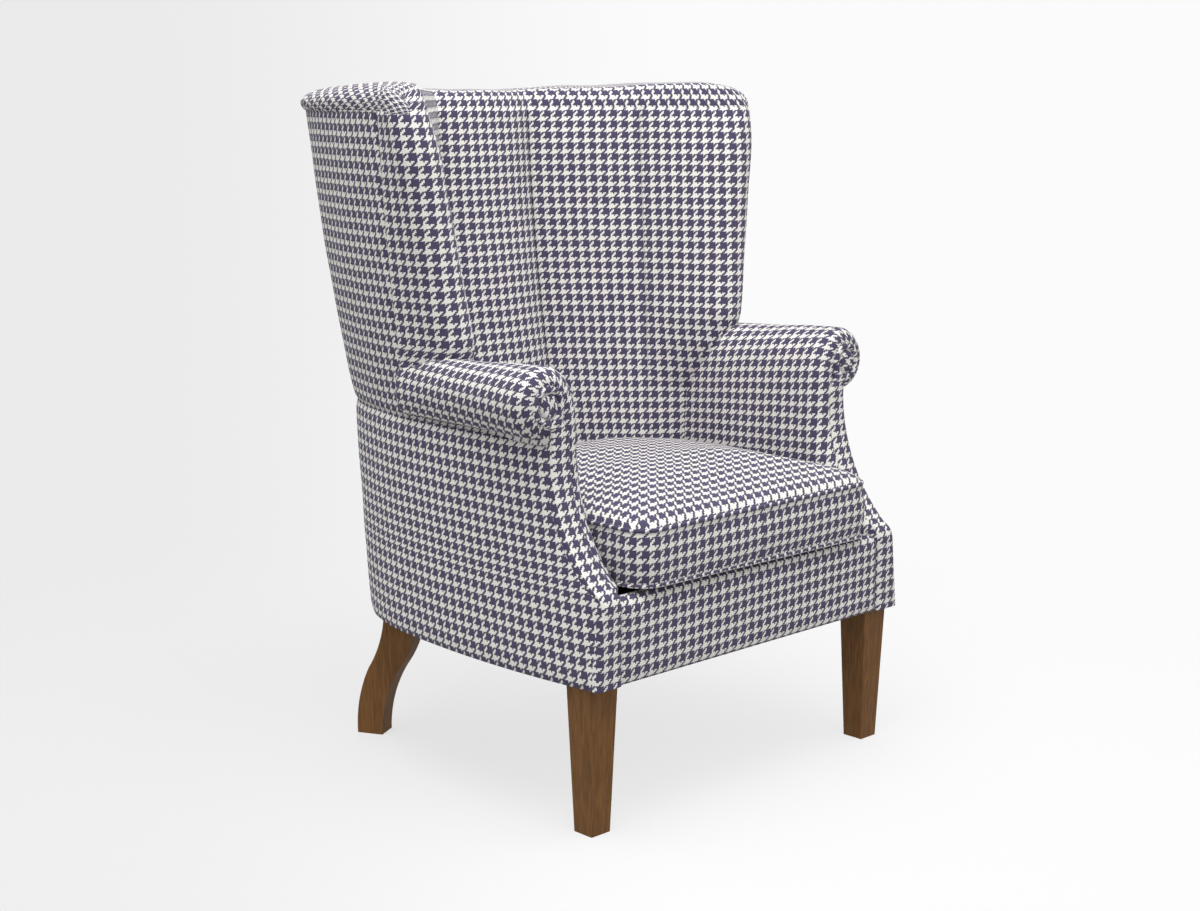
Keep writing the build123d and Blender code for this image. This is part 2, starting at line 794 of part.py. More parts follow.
# Springing
def seat_spring(width):
    """Zigzag spring from the front rail to the rear rail."""
    height = rail_top + spring_wire / 2
    start = front_rail_station + rail_thickness / 2
    end = back_station_at_hem - rail_inset - rail_thickness / 2
    runs = int((end - start) / spring_pitch)
    step = (end - start) / runs
    points = [at(width, start, height)]
    for i in range(runs):
        swing = spring_swing * (1 if i % 2 else -1)
        middle = start + step * (i + 0.5)
        points.append(at(width + swing, middle - spring_flat_share * step, height))
        points.append(at(width + swing, middle + spring_flat_share * step, height))
    points.append(at(width, end, height))
    path = FilletPolyline(*points, radius=spring_bend_share * step)
    section = Plane(origin=path @ 0, z_dir=path % 0) * Circle(spring_wire / 2)
    return sweep(section, path)


def spring_places():
    """Half widths of the springs."""
    return [spring_spacing * (i - (spring_count - 1) / 2) for i in range(spring_count)]


def spring_clips(springs):
    """Clips that hold the springs' ends on the rails."""
    ends = (front_rail_station + rail_thickness / 2, back_station_at_hem - rail_inset - rail_thickness / 2)
    clips = []
    for width in spring_places():
        for station in ends:
            low = (width - clip_size / 2, station - clip_size / 2, rail_top)
            high = (width + clip_size / 2, station + clip_size / 2, rail_top + clip_height)
            clip = box_between(low, high)
            clips.append(clip - springs)
    return clips


def back_webbing():
    """Upright webs between the lower and the top back rail."""
    low, high = back_lower_rail_base, roll_base
    webs = []
    for i in range(webbing_count):
        middle = webbing_spacing * (i - (webbing_count - 1) / 2)
        base, crest = back_face_station(low), back_face_station(high)
        points = [(base - webbing_thickness, low), (base, low)]
        points += [(crest, high), (crest - webbing_thickness, high)]
        webs.append(side_board(points, middle - webbing_width / 2, webbing_width))
    return webs


# Cushion
def cushion_outline(inset, height):
    """Plan of the cushion drawn in by an inset, rounded at its corners."""
    wide, side = cushion_half_width - inset, cushion_side_length - inset * cushion_side_draw
    narrow = cushion_rear_width - inset * cushion_rear_draw
    nose, tail = piping_radius + inset, cushion_depth - inset
    points = [(wide, nose), (wide, side), (narrow, tail), (-narrow, tail), (-wide, side), (-wide, nose)]
    radii = [cushion_front_radius, cushion_rear_radius, cushion_rear_radius]
    path = [at(x, s, height) for x, s in points]
    return FilletPolyline(*path, radius=radii + radii[::-1], close=True)


def cushion_piping(height):
    """Corded edge round the cushion."""
    path = cushion_outline(0, height)
    section = Plane(origin=path @ 0, z_dir=path % 0) * Circle(piping_radius)
    return sweep(section, path)


def cushion_boxing():
    """Side band between the corded edges, swelling a little at half height."""
    low, high = piping_low + piping_radius, piping_high - piping_radius
    levels = [(low, 0.0), ((low + high) / 2, -boxing_swell), (high, 0.0)]
    outer = loft([make_face(cushion_outline(inset, height)) for height, inset in levels])
    inner = extrude(make_face(cushion_outline(boxing_thickness, low)), high - low, dir=(0, 0, 1))
    return outer - inner


def cushion_core():
    """Foam slab inside the side band."""
    low, high = piping_low + piping_radius, piping_high - piping_radius
    return extrude(make_face(cushion_outline(boxing_thickness, low)), high - low, dir=(0, 0, 1))


def cushion_top():
    """Crowned top of the cushion: a quarter of an ellipse from the corded edge to the flat middle."""
    base = piping_high - piping_radius
    faces = []
    for turn in (0, 25, 50, 72, 90):
        height = blend(base, cushion_crown, sin(radians(turn)))
        inset = blend(piping_radius, cushion_crown_inset, 1 - cos(radians(turn)))
        faces.append(make_face(cushion_outline(inset, height)))
    return loft(faces)


def cushion_bottom():
    """Underside of the cushion, flat where it lies on the platform."""
    inset = piping_radius + seam_gap
    face = make_face(cushion_outline(inset, cushion_base))
    return extrude(face, 2 * piping_radius, dir=(0, 0, 1))


# Fasteners
def leg_bolt(place):
    """Bolt up the middle of a leg into the frame."""
    return upright(place - Vector(0, 0, bolt_in_leg), bolt_length, bolt_diameter)


def block_screws():
    """Screws through the left corner blocks into the rails."""
    middle = rail_base + block_height / 2
    reach = block_leg / 3
    corner_x, corner_s = arm_post_inner, front_rail_station + rail_thickness
    start = screw_length - rail_thickness * screw_grip_share
    forward = pin(at(corner_x - reach, corner_s + start, middle), (0, -1, 0), screw_length, screw_diameter)
    beside = at(corner_x - start, corner_s + reach, middle + screw_lift)
    outward = pin(beside, (1, 0, 0), screw_length, screw_diameter)
    axis = rear_leg_axis()
    splay = rear_leg_frame().x_dir
    lift = Vector(0, 0, block_height / 2)
    side = rear_leg_frame().z_dir
    start = axis + lift - splay * (screw_length / 4)
    spread = rear_leg_thickness / 3
    rear = [pin(start + side * shift, splay, screw_length, screw_diameter) for shift in (-spread, spread)]
    return [forward, outward] + rear


def frame_dowels():
    """Dowels of the left frame joints: arm rail to post, back post to rail, lower rail to back post."""
    half = dowel_length / 2
    arm_x = arm_post_inner + arm_post_thickness * dowel_width_share
    arm_s = arm_front_station + facing_thickness + arm_post_depth / 2
    post_x = back_post_inner + back_post_width / 2
    post_s = back_post_base_station + back_post_depth / 2
    rail_s = back_face_station(back_lower_rail_base + back_rail_height / 2) + back_post_depth / 2
    top_s = back_face_station(roll_base - back_rail_height / 2) + back_post_depth / 2
    wing_x, wing_s = wing_post_path[0][1:]
    lower_z = back_lower_rail_base + back_rail_height / 2
    upper_z = roll_base - back_rail_height / 2
    return [
        upright(at(arm_x, arm_s, arm_rail_base - half), dowel_length * dowel_depth_share, dowel_diameter),
        upright(at(post_x, post_s, rail_top - half), dowel_length, dowel_diameter),
        upright(at(wing_x, wing_s, rail_top - half), dowel_length, dowel_diameter),
        pin(at(back_post_inner - half, rail_s, lower_z), (1, 0, 0), dowel_length, dowel_diameter),
        pin(at(back_post_inner - half, top_s, upper_z), (1, 0, 0), dowel_length, dowel_diameter),
    ]


def without(shape, others):
    """A piece with the room for others cut out of it."""
    for other in others:
        shape = shape - other
    return shape


def build():
    """All nodes by name."""
    nodes = {}
    left_bolts = [leg_bolt(at(front_leg_width, front_leg_station, rail_base)), leg_bolt(rear_leg_axis())]
    left_screws = block_screws()
    left_dowels = frame_dowels()
    left_pins = left_bolts + left_screws + left_dowels

    left = {
        "front_leg": without(front_leg(), left_bolts[:1]),
        "rear_leg": without(rear_leg(), left_bolts[1:]),
        "side_seat_rail": without(side_seat_rail(), left_pins),
        "corner_rail": without(corner_rail(), left_pins),
        "arm_post": without(arm_post(), left_pins),
        "arm_rail": without(arm_rail(), left_pins),
        "wing_post": without(wing_post(), left_pins),
        "wing_rail": wing_rail(),
        "back_post": without(
            raked_board(rail_top, roll_base, back_post_inner, back_post_width), left_dowels
        ),
        "outside_arm": outside_arm(),
        "outside_wing": outside_wing(),
        "arm_facing": arm_facing(),
        "wing": wing() - wing_post() - wing_rail() - arm_rail(),
        "arm_pad": arm_pad(),
        "inside_back": inside_back() - wing_rail(),
    }
    for name, shape in left.items():
        nodes[name + "_left"] = shape
        nodes[name + "_right"] = mirrored(shape)

    right_pins = [mirrored(shape) for shape in left_pins]
    pins = left_pins + right_pins
    blocks = [without(block, left_pins) for block in (front_corner_block(), rear_corner_block())]
    springs = [seat_spring(width) for width in spring_places()]
    clips = spring_clips(springs)
    low_rail = raked_board(
        back_lower_rail_base, back_lower_rail_base + back_rail_height, -back_post_inner, 2 * back_post_inner
    )
    high_rail = raked_board(roll_base - back_rail_height, roll_base, -back_post_inner, 2 * back_post_inner)
    nodes["front_seat_rail"] = without(front_seat_rail(), pins)
    nodes["rear_seat_rail"] = without(rear_seat_rail(), pins)
    nodes["corner_blocks"] = Compound(children=blocks + [mirrored(block) for block in blocks])
    nodes["back_lower_rail"] = without(low_rail, pins)
    nodes["back_top_rail"] = without(high_rail, pins)
    nodes["outside_back"] = outside_back()
    nodes["inside_back_centre"] = inside_back_centre()
    nodes["top_roll"] = top_roll()
    nodes["front_border"] = front_border()
    nodes["seat_platform"] = without(seat_platform(), clips)
    nodes["dust_cover"] = dust_cover()
    nodes["seat_springs"] = Compound(children=springs)
    nodes["spring_clips"] = Compound(children=clips)
    nodes["back_webbing"] = Compound(children=back_webbing())
    nodes["cushion_core"] = cushion_core()
    nodes["cushion_boxing"] = cushion_boxing()
    nodes["cushion_top"] = cushion_top()
    nodes["cushion_bottom"] = cushion_bottom()
    nodes["cushion_piping_top"] = cushion_piping(piping_high)
    nodes["cushion_piping_bottom"] = cushion_piping(piping_low)
    nodes["leg_bolts"] = Compound(children=left_bolts + right_pins[:2])
    nodes["block_screws"] = Compound(children=left_screws + right_pins[2:6])
    nodes["frame_dowels"] = Compound(children=left_dowels + right_pins[6:])
    return nodes


os.makedirs("parts", exist_ok=True)
for node, solid in build().items():
    export_step(solid, f"parts/{node}.step")
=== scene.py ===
from math import acos, asin, atan2, copysign, cos, dist, hypot, pi, radians, sin, sqrt, tan

import bpy
import numpy as np
from mathutils import Matrix, Vector


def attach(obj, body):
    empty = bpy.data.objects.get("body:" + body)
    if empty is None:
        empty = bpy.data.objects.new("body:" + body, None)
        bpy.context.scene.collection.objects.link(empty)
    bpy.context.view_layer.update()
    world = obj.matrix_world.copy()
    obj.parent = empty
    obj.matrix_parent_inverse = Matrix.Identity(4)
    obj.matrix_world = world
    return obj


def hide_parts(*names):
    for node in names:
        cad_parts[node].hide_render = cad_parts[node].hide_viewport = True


bl_info = {
    "name": "Wing Armchair",
    "version": (1, 0, 0),
    "blender": (4, 5, 0),
    "location": "3D View > Sidebar > Armchair",
    "description": "Upholstered wing armchair in houndstooth, built over its CAD frame",
    "category": "Object",
}

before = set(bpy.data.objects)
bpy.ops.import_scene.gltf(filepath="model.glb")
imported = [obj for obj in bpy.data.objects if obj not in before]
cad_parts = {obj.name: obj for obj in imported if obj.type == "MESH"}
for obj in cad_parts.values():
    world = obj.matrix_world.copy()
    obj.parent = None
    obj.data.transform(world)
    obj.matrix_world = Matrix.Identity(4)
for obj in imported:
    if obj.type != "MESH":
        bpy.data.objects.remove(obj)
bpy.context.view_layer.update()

# Sizes in millimetres. Widths run out from the middle, stations back from the cushion's foremost edge.
MM = 0.001
HEM = 229.0
SEAT = 349.0
ARM_SEAM = 573.0
ROLL_BASE = 1040.0
TOP = 1085.0
BACK_STATION = 665.0
BACK_LEAN = 0.19
TOP_OVERHANG = 10.0
FRONT = -(BACK_STATION + BACK_LEAN * (ROLL_BASE - HEM) + TOP_OVERHANG) / 2

# Plan of the outside: half widths at the hem and the arm seam, then in the middle of the wing and at its top
FACING = 12.0
SIDE_MIDDLE = 270.0
WING = 445.0
NOSE_WIDTHS = (345.0, 308.0)
MIDDLE_WIDTHS = (363.0, 343.0)
WING_WIDTHS = (352.0, 339.5)
HEAD_WIDTHS = (367.0, 384.0)
HEAD_MIDDLE = 800.0
HEAD_HEADING = radians(6)
CORNER_RADIUS = 165.0
CORNER_START = radians(22)
CORNER_END = radians(86)
ARM_START = 6.0
OUTSIDE_OVERLAP = 4.0

# Inside of the back and wings: its seams, and height, width and station along the middle of the wing's roll
NEAR_WIDTH = 100.0
NEAR_STATIONS = (545.0, 627.0, 652.0)
NEAR_MIDDLE = 760.0
FAR_WIDTHS = (205.0, 239.0)
FAR_STATIONS = (445.0, 516.0)
BACK_BOW = 18.0
SIDE_CROWN = 3.0
SEAT_OVERLAP = 4.0
INSIDE_OVERLAP = 3.0
WING_ROLL = [
    (SEAT, 282.0, 468.0),
    (560.0, 284.0, 456.0),
    (640.0, 298.0, 396.0),
    (690.0, 302.0, 381.0),
    (ROLL_BASE, 358.0, 406.0),
]
WING_ROLL_RADIUS = 35.0
HIDDEN_BELOW = 582.0
HIDDEN_RISE = 9.0
HIDDEN_DEPTH = 6.3
CLOTH_LEAN = 0.985

# Top roll
TIP_OVERHANG = 2.0
TOP_ROUND = 26.0
TOP_SLOPE = 84.0
TOP_DIP = 12.0
DIP_FADE = (60.0, 330.0)
WIDEST_RING = 0.36
UNDER_TURN = 60
TIP_LENGTH = 95.0
TIP_RISE = 0.4
TIP_NARROWING = 0.45
CAP_SWELL = 2.0
TOP_TUCK = 8.0
TIP_FROM = 965.0
TIP_BACK = 17.0
TIP_FADE = (375.0, 490.0)

# Arms: stations and heights of the front edge, then widths and heights of the section in front and behind
KNEE = ((FACING, 345.0), (17.0, 361.0), (30.0, 369.0))
SWEEP = ((30.0, 369.0), (84.0, 432.0), (120.0, 557.0))
ARM_FOOT = 274.0
ARM_HOLLOW = 266.5
ARM_INNER = 268.0
SHOULDER = 600.0
CREST = ((330.0, 688.0), (318.0, 670.0))
ROLL_SIDE = ((388.0, 631.0), (357.0, 623.0))
ROLL_TUCK = ((339.5, ARM_SEAM + 6.0), (336.5, ARM_SEAM + 6.0))
ARM_ROUNDING = 26.0
FOOT_STATION = 26.0
FOOT_TOP = 372.0

# Facings: the strip, its round head with the sunk ring, and how its cloth wraps round the edges
FACING_INNER = 294.0
FACING_COLUMNS = 40
SCROLL = (335.0, 629.0)
SCROLL_RADIUS = 30.5
NECK_INNER = (585.0, 622.0)
NECK_INNER_START = 590.0
NECK_OUTER = (578.0, 604.0)
NECK_WIDTH = 331.0
RING_RADIUS = 19.0
RING_WIDTH = 2.6
RING_DEPTH = 5.0
SWIRL = 0.9
SWIRL_FADE = (17.0, 20.0)
FACING_BULGE = 5.0
FACING_EDGE = 9.0
FACING_SUNK = 1.5
LOW_WRAP = 400.0
LOW_TURN = (-7.5, 9.0, 0.0)
HIGH_TURN = (0.0, 14.0, 0.0)
INNER_WRAP = 12.0
DEEP_WRAP = 60.0
OUTER_WRAP = 34.0

# Front border
BORDER_KNEE = 338.0
BORDER_TOP = 356.0
BORDER_ROUND = 16.0
BORDER_CROWN = 1.5
BORDER_LIP = (10.0, 1.0)
BORDER_DROP = (12.0, 10.0)

# Cushion
CUSHION_HALF = 262.0
CUSHION_DEPTH = 520.0
CUSHION_SIDE = 395.0
CUSHION_REAR = 95.0
CUSHION_LOW = 352.8
CUSHION_HIGH = 450.5
CUSHION_CROWN = 503.0
CUSHION_UNDER = -2.0
CUSHION_MIDDLE = (0.0, 275.0)
CROWN_POWER = 3.2
EDGE_CROWN = 0.72
FRONT_LIFT = 13.0
LIFT_TILT = 2.0
LIFT_FADE = (30.0, 160.0)
FRONT_CORNER = 38.0
REAR_CORNER = 30.0
PIPING = 3.5
CORD_TOP = 3.4
CORD_BOTTOM = 2.8

# Linings
PLATFORM_FRONT = 26.0
PLATFORM_BACK = 612.0
PLATFORM_HALF = 286.0
PLATFORM_REAR = (615.0, 137.0)
PLATFORM_DROP = 6.0
PLATFORM_EDGE = 0.08
PLATFORM_REACH = 300.0
DUST_FRONT = 24.0
DUST_HEIGHT = 231.5
DUST_INSET = 9.0
DUST_SAG = 2.0

# Stuffing: firmness of the pieces, reach of the swelling, and the mark of a border sewn without a dip
OUTSIDE_FILL = 0.6
INSIDE_FILL = 0.7
CUSHION_FILL = 0.85
CORD_FILL = 0.9
SWELL_REACH = 110.0
FLAT = 2

# Weave: threads in a repeat, dark ones among them, step of the twill, unevenness in repeats
THREADS = 8.0
DARK_THREADS = 4.75
TWILL = 4.0
OVER_THREADS = 1.5
WOBBLE = (0.18, 0.18, 0.0)

# Stage in metres
KEY_PLACE = (-0.62, -0.62, 3.0)
KEY_TARGET = (0, 0, 0.5)
KEY_SIZE = 2.2
FILL_PLACE = (2.2, -2.4, 1.6)
FILL_TARGET = (0, 0, 0.6)
FILL_SIZE = 2.0
CAMERA_PLACE = (-2.163, -2.3115, 1.083)
CAMERA_AHEAD = (0.6804, 0.7097, -0.1833)
CAMERA_RIGHT = (0.722, -0.692, 0.0)
CAMERA_SHIFT = (-0.00175, -0.01)
FLOOR_HALF = 4
FLOOR_SHARE = 0.24
FLOOR_FADE = (0.55, 1.9)
# Painted shade on the backdrop seen by the camera: its brightness rises from the left side to the right
BACKDROP_SHADE_FADE = (-0.24, 0.06)
BACKDROP_SHADE_LEVELS = (0.83, 0.965)
LOWER_LIGHT = 0.4
LOWER_FADE = (-0.25, 0.15)


def blend(low, high, share):
    """Value part of the way from low to high."""
    return low + (high - low) * share


def smooth(x, low, high):
    """Smooth step of x from 0 at low to 1 at high."""
    t = np.clip((x - low) / (high - low), 0, 1)
    return t * t * (3 - 2 * t)


def through(low, middle, high, share, at):
    """Parabola through three values at shares 0, at and 1."""
    bend = (middle - blend(low, high, at)) / (at * (at - 1))
    return blend(low, high, share) + bend * share * (share - 1)


def unit(v):
    """Vectors scaled to length 1."""
    return v / np.maximum(np.linalg.norm(v, axis=-1, keepdims=True), 1e-9)


def circle_through(p, q, r):
    """Centre and radius of the circle through three plan points."""
    ax, ay, bx, by = q[0] - p[0], q[1] - p[1], r[0] - p[0], r[1] - p[1]
    cross = 2 * (ax * by - ay * bx)
    a2, b2 = ax * ax + ay * ay, bx * bx + by * by
    ux, uy = (by * a2 - ay * b2) / cross, (ax * b2 - bx * a2) / cross
    return p[0] + ux, p[1] + uy, hypot(ux, uy)


def tangent_point(point, centre, radius, turn):
    """Where the tangent from a plan point touches a circle, on the side given by turn."""
    dx, dy = point[0] - centre[0], point[1] - centre[1]
    angle = atan2(dy, dx) + turn * acos(radius / hypot(dx, dy))
    return centre[0] + radius * cos(angle), centre[1] + radius * sin(angle)


def along(path, height):
    """Width and station on a path of (height, width, station) points."""
    z, w, s = np.array(path).T
    return float(np.interp(height, z, w)), float(np.interp(height, z, s))


def arc_points(arc, count, grow=0.0):
    """Points along an arc grown outwards; grow may be one number or one per point."""
    angle = np.linspace(arc[3], arc[4], count)
    radius = arc[2] + grow
    return np.stack([arc[0] + radius * np.cos(angle), arc[1] + radius * np.sin(angle)], -1)


def reverse(arc):
    """The same arc run the other way."""
    return (*arc[:3], arc[4], arc[3])


def quarter(start, centre, end, count):
    """Quarter of an ellipse: the centre, plus the way to the start by cosine and to the end by sine."""
    turn = np.linspace(0, pi / 2, count)[:, None]
    middle = np.array(centre)
    return middle + (np.array(start) - middle) * np.cos(turn) + (np.array(end) - middle) * np.sin(turn)


def line(p, q, count):
    """Evenly spaced points from p to q."""
    share = np.linspace(0, 1, count)[:, None]
    return np.array(p) * (1 - share) + np.array(q) * share


def join(*runs):
    """One polyline from several runs of points, without the doubled ends."""
    return np.concatenate([runs[0]] + [run[1:] for run in runs[1:]])


def lengths(points):
    """Distance along a polyline at each of its points."""
    steps = np.linalg.norm(np.diff(points, axis=0), axis=1)
    return np.concatenate([[0.0], np.cumsum(steps)])


def resample(points, count):
    """The same polyline with evenly spaced points."""
    run = lengths(points)
    at = np.linspace(0, run[-1], count)
    return np.stack([np.interp(at, run, points[:, i]) for i in range(points.shape[1])], -1)


def lifted(plan, height):
    """Points in millimetres in the shared frame from plan points (width, station) at a height."""
    out = np.empty(plan.shape[:-1] + (3,))
    out[..., 0], out[..., 1], out[..., 2] = plan[..., 0], plan[..., 1] + FRONT, height
    return out


def stacked(row, heights):
    """Grid with one row of points at each height, from a function that gives the plan of a row."""
    return np.array([lifted(row(height), height) for height in heights])


# Form of the chair
def outside_arcs(height):
    """Plan arcs of the outside at a height: arm, side, rear corner and half the back.

    Each is centre, radius, first and last angle. The side starts at the wing's seam and runs smoothly into
    the rear corner, and the corner into the back.
    """
    low = min((height - HEM) / (ARM_SEAM - HEM), 1.0)
    nose = (blend(*NOSE_WIDTHS, low), FACING)
    middle = (blend(*MIDDLE_WIDTHS, low), SIDE_MIDDLE)
    width = blend(*WING_WIDTHS, low)
    ax, ay, ar = circle_through(nose, middle, (width, WING))
    heading = atan2(WING - ay, width - ax)
    arm = (ax, ay, ar, atan2(nose[1] - ay, nose[0] - ax), heading)
    if height > ARM_SEAM:
        share = (height - ARM_SEAM) / (ROLL_BASE - ARM_SEAM)
        at = (HEAD_MIDDLE - ARM_SEAM) / (ROLL_BASE - ARM_SEAM)
        width = through(WING_WIDTHS[1], *HEAD_WIDTHS, share, at)
        heading = blend(heading, HEAD_HEADING, share)
    back = BACK_STATION + BACK_LEAN * (height - HEM)
    bow = tan((pi / 2 - CORNER_END) / 2)
    reach = back - WING + CORNER_RADIUS * (sin(CORNER_START) - sin(CORNER_END))
    reach -= (width - CORNER_RADIUS * (cos(CORNER_START) - cos(CORNER_END))) * bow
    gain = sin(CORNER_START) - sin(heading) - (cos(heading) - cos(CORNER_START)) * bow
    radius = reach / gain
    sx, sy = width - radius * cos(heading), WING - radius * sin(heading)
    cx = sx + (radius - CORNER_RADIUS) * cos(CORNER_START)
    cy = sy + (radius - CORNER_RADIUS) * sin(CORNER_START)
    rear = (cx + CORNER_RADIUS * cos(CORNER_END)) / cos(CORNER_END)
    return (
        arm,
        (sx, sy, radius, heading, CORNER_START),
        (cx, cy, CORNER_RADIUS, CORNER_START, CORNER_END),
        (0.0, back - rear, rear, CORNER_END, pi / 2),
    )


def inside_seams(height):
    """Plan points of the two left seams of the inside back."""
    share = (height - SEAT) / (ROLL_BASE - SEAT)
    station = through(*NEAR_STATIONS, share, (NEAR_MIDDLE - SEAT) / (ROLL_BASE - SEAT))
    return (NEAR_WIDTH, station), (blend(*FAR_WIDTHS, share), blend(*FAR_STATIONS, share))


def centre_arc(near):
    """Arc of the inside back's middle panel, which bulges forwards: from the middle to a left seam point."""
    _, cy, radius = circle_through((-near[0], near[1]), (0.0, near[1] - BACK_BOW), near)
    return 0.0, cy, radius, -pi / 2, atan2(near[1] - cy, near[0])


def seam_runs():
    """Distances from the middle of the back to its two left seams, along the top of the inside."""
    near, far = inside_seams(ROLL_BASE)
    arc = centre_arc(near)
    bow = arc[2] * (arc[4] - arc[3])
    return bow, bow + dist(near, far)


def roll_runs(outer, inner, centre, radius, counts):
    """Runs from an outer point round the wing's rolled edge to an inner seam: line, two half arcs, line."""
    leave, land = tangent_point(outer, centre, radius, -1), tangent_point(inner, centre, radius, 1)
    a0 = atan2(leave[1] - centre[1], leave[0] - centre[0])
    a1 = atan2(land[1] - centre[1], land[0] - centre[0])
    a1 -= 2 * pi * (a1 > a0)
    tip = (a0 + a1) / 2
    return (
        line(outer, leave, counts[0]),
        arc_points((*centre, radius, a0, tip), counts[1]),
        arc_points((*centre, radius, tip, a1), counts[2]),
        line(land, inner, counts[3]),
    )


def front_station(height):
    """Station of the arm's front edge: upright to the knee, two arcs up to the roll, upright again."""
    kx, kz, kr = circle_through(*KNEE)
    sx, sz, sr = circle_through(*SWEEP)
    z = np.asarray(height, float)
    knee = kx - np.sqrt(np.clip(kr * kr - (z - kz) ** 2, 0, None))
    sweep = sx + copysign(1, SWEEP[1][0] - sx) * np.sqrt(np.clip(sr * sr - (z - sz) ** 2, 0, None))
    upper = np.where(z < SWEEP[2][1], sweep, SWEEP[2][0])
    return np.where(z < KNEE[0][1], FACING, np.where(z < KNEE[2][1], knee, upper))


def tip_rounded(points):
    """Rounds the wing's upper front corner.

    Points move back by TIP_BACK times the square of their rise above TIP_FROM, less and less behind it.
    """
    rise = np.clip((points[..., 2] - TIP_FROM) / (TOP - TIP_FROM), 0, 1.1)
    ahead = 1 - smooth(points[..., 1] - FRONT, *TIP_FADE)
    moved = points.copy()
    moved[..., 1] += TIP_BACK * rise**2 * ahead
    return moved


# Stuffing and weave
def grid_normals(points):
    """Normals of a grid: along its columns crossed with along its rows."""
    return unit(np.cross(np.gradient(points, axis=1), np.gradient(points, axis=0)))


def border_distance(points):
    """Distances of grid points from the first and last column and the first and last row."""
    across = np.linalg.norm(np.diff(points, axis=1), axis=-1)
    up = np.linalg.norm(np.diff(points, axis=0), axis=-1)
    a = np.concatenate([np.zeros((len(points), 1)), np.cumsum(across, 1)], 1)
    b = np.concatenate([np.zeros((1, points.shape[1])), np.cumsum(up, 0)], 0)
    return a, a[:, -1:] - a, b, b[-1:] - b


def ripple(points, size, seed):
    """Soft unevenness of stuffing: a sum of six sine waves in different directions, within about one."""
    rng = np.random.default_rng(seed)
    total = np.zeros(points.shape[:-1])
    for i in range(6):
        way = unit(rng.normal(size=3)) / (size * blend(0.6, 1.5, i / 5))
        total += np.sin(points @ way * 2 * pi + rng.uniform(0, 6.28))
    return total / 3


def rippled(points, depth, size, seed):
    """Grid moved along its normals by the unevenness times a depth."""
    return points + grid_normals(points) * (depth * ripple(points, size, seed))[..., None]


def turned_in(seams):
    """Numbers of extra rows and columns at the sewn borders of a grid, as np.pad takes them."""
    first, last, bottom, top = (int(bool(sewn)) for sewn in seams)
    return (bottom, top), (first, last), (0, 0)


def stuffed(points, crown, seams, seed, seam_depth=3.0, seam_width=7.0, uneven=0.7, tuck=9.0):
    """Grid swollen between its seams.

    The swelling is the crown times the product of 1-(1-d/D)^2.5 over the sewn borders, less a dip that falls
    off with the distance from each seam. One more row or column at each seam is turned in, which closes it.
    seams says which of first column, last column, first row and last row are sewn; FLAT has no dip.
    """
    normal = grid_normals(points)
    swell = np.ones(points.shape[:-1])
    dip = np.zeros(points.shape[:-1])
    for distance, sewn in zip(border_distance(points), seams):
        if sewn:
            reach = max(min(distance.max() * 0.5, SWELL_REACH), 1.0)
            swell *= 1 - np.clip(1 - distance / reach, 0, 1) ** 2.5
            dip = np.maximum(dip, (sewn != FLAT) * np.exp(-((distance / seam_width) ** 2)))
    lift = crown * swell - seam_depth * dip + uneven * swell * ripple(points, size=130.0, seed=seed)
    moved = points + normal * lift[..., None]
    pads = turned_in(seams)
    rows, columns = (np.pad(np.zeros(n), pad, constant_values=1) for n, pad in zip(points.shape, pads[:2]))
    inward = tuck * (rows[:, None] + columns)
    return np.pad(moved, pads, mode="edge") - np.pad(normal, pads, mode="edge") * inward[..., None]


def panel(points, uv, crown, seams, seed, **dip):
    """Stuffed grid and its UV, with the same extra rows and columns."""
    return stuffed(points, crown, seams, seed, **dip), np.pad(uv, turned_in(seams), mode="edge")


def cloth_uv(across, up, repeat):
    """UV grid in repeats from the distances across and up the cloth."""
    return np.stack(np.broadcast_arrays(across, up), -1) / repeat


def sideways(points):
    """Distance along the middle row of a grid, at each column."""
    return lengths(points[len(points) // 2])


def upward(points):
    """Distance up the middle column of a grid, at each row."""
    return lengths(points[:, points.shape[1] // 2])[:, None]


def mesh_object(name, points, uv, material, closed=False):
    """Mesh object from a grid of points in millimetres with UV in repeats; closed welds points that meet."""
    rows, cols = points.shape[:2]
    index = np.arange(rows * cols).reshape(rows, cols)
    faces = np.stack([index[:-1, :-1], index[:-1, 1:], index[1:, 1:], index[1:, :-1]], -1).reshape(-1, 4)
    mesh = bpy.data.meshes.new(name)
    mesh.from_pydata((points.reshape(-1, 3) * MM).tolist(), [], faces.tolist())
    layer = mesh.uv_layers.new(name="cloth")
    corners = np.empty(len(mesh.loops), dtype=np.int32)
    mesh.loops.foreach_get("vertex_index", corners)
    layer.data.foreach_set("uv", uv.reshape(-1, 2)[corners].astype(np.float32).ravel())
    mesh.polygons.foreach_set("use_smooth", np.ones(len(mesh.polygons), dtype=bool))
    mesh.materials.append(material)
    mesh.update()
    obj = bpy.data.objects.new(name, mesh)
    bpy.context.scene.collection.objects.link(obj)
    if closed:
        weld = obj.modifiers.new("Weld", "WELD")
        weld.merge_threshold = 0.00005
    return obj


def mirrored_grid(points, uv):
    """The same grid on the other side of the chair, with its weave still upright."""
    flip = points[:, ::-1] * np.array([-1.0, 1.0, 1.0])
    return flip, uv[:, ::-1] * np.array([-1.0, 1.0])


def cover(obj, body, nodes):
    """A stuffed piece of the houndstooth covering that stands for CAD nodes and rides on a body."""
    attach(obj, body)
    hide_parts(*nodes)


def piece(context, name, points, uv, fill, closed=False, body="chair", also=()):
    """Piece of the covering that stands for the CAD node of the same name, and for others within it."""
    obj = mesh_object(name + "_cover", points, uv, cloth(context), closed)
    cover(obj, body, [name, *also])


def both_sides(context, name, points, uv, fill):
    """Left piece and its mirror image."""
    piece(context, name + "_left", points, uv, fill)
    piece(context, name + "_right", *mirrored_grid(points, uv), fill)


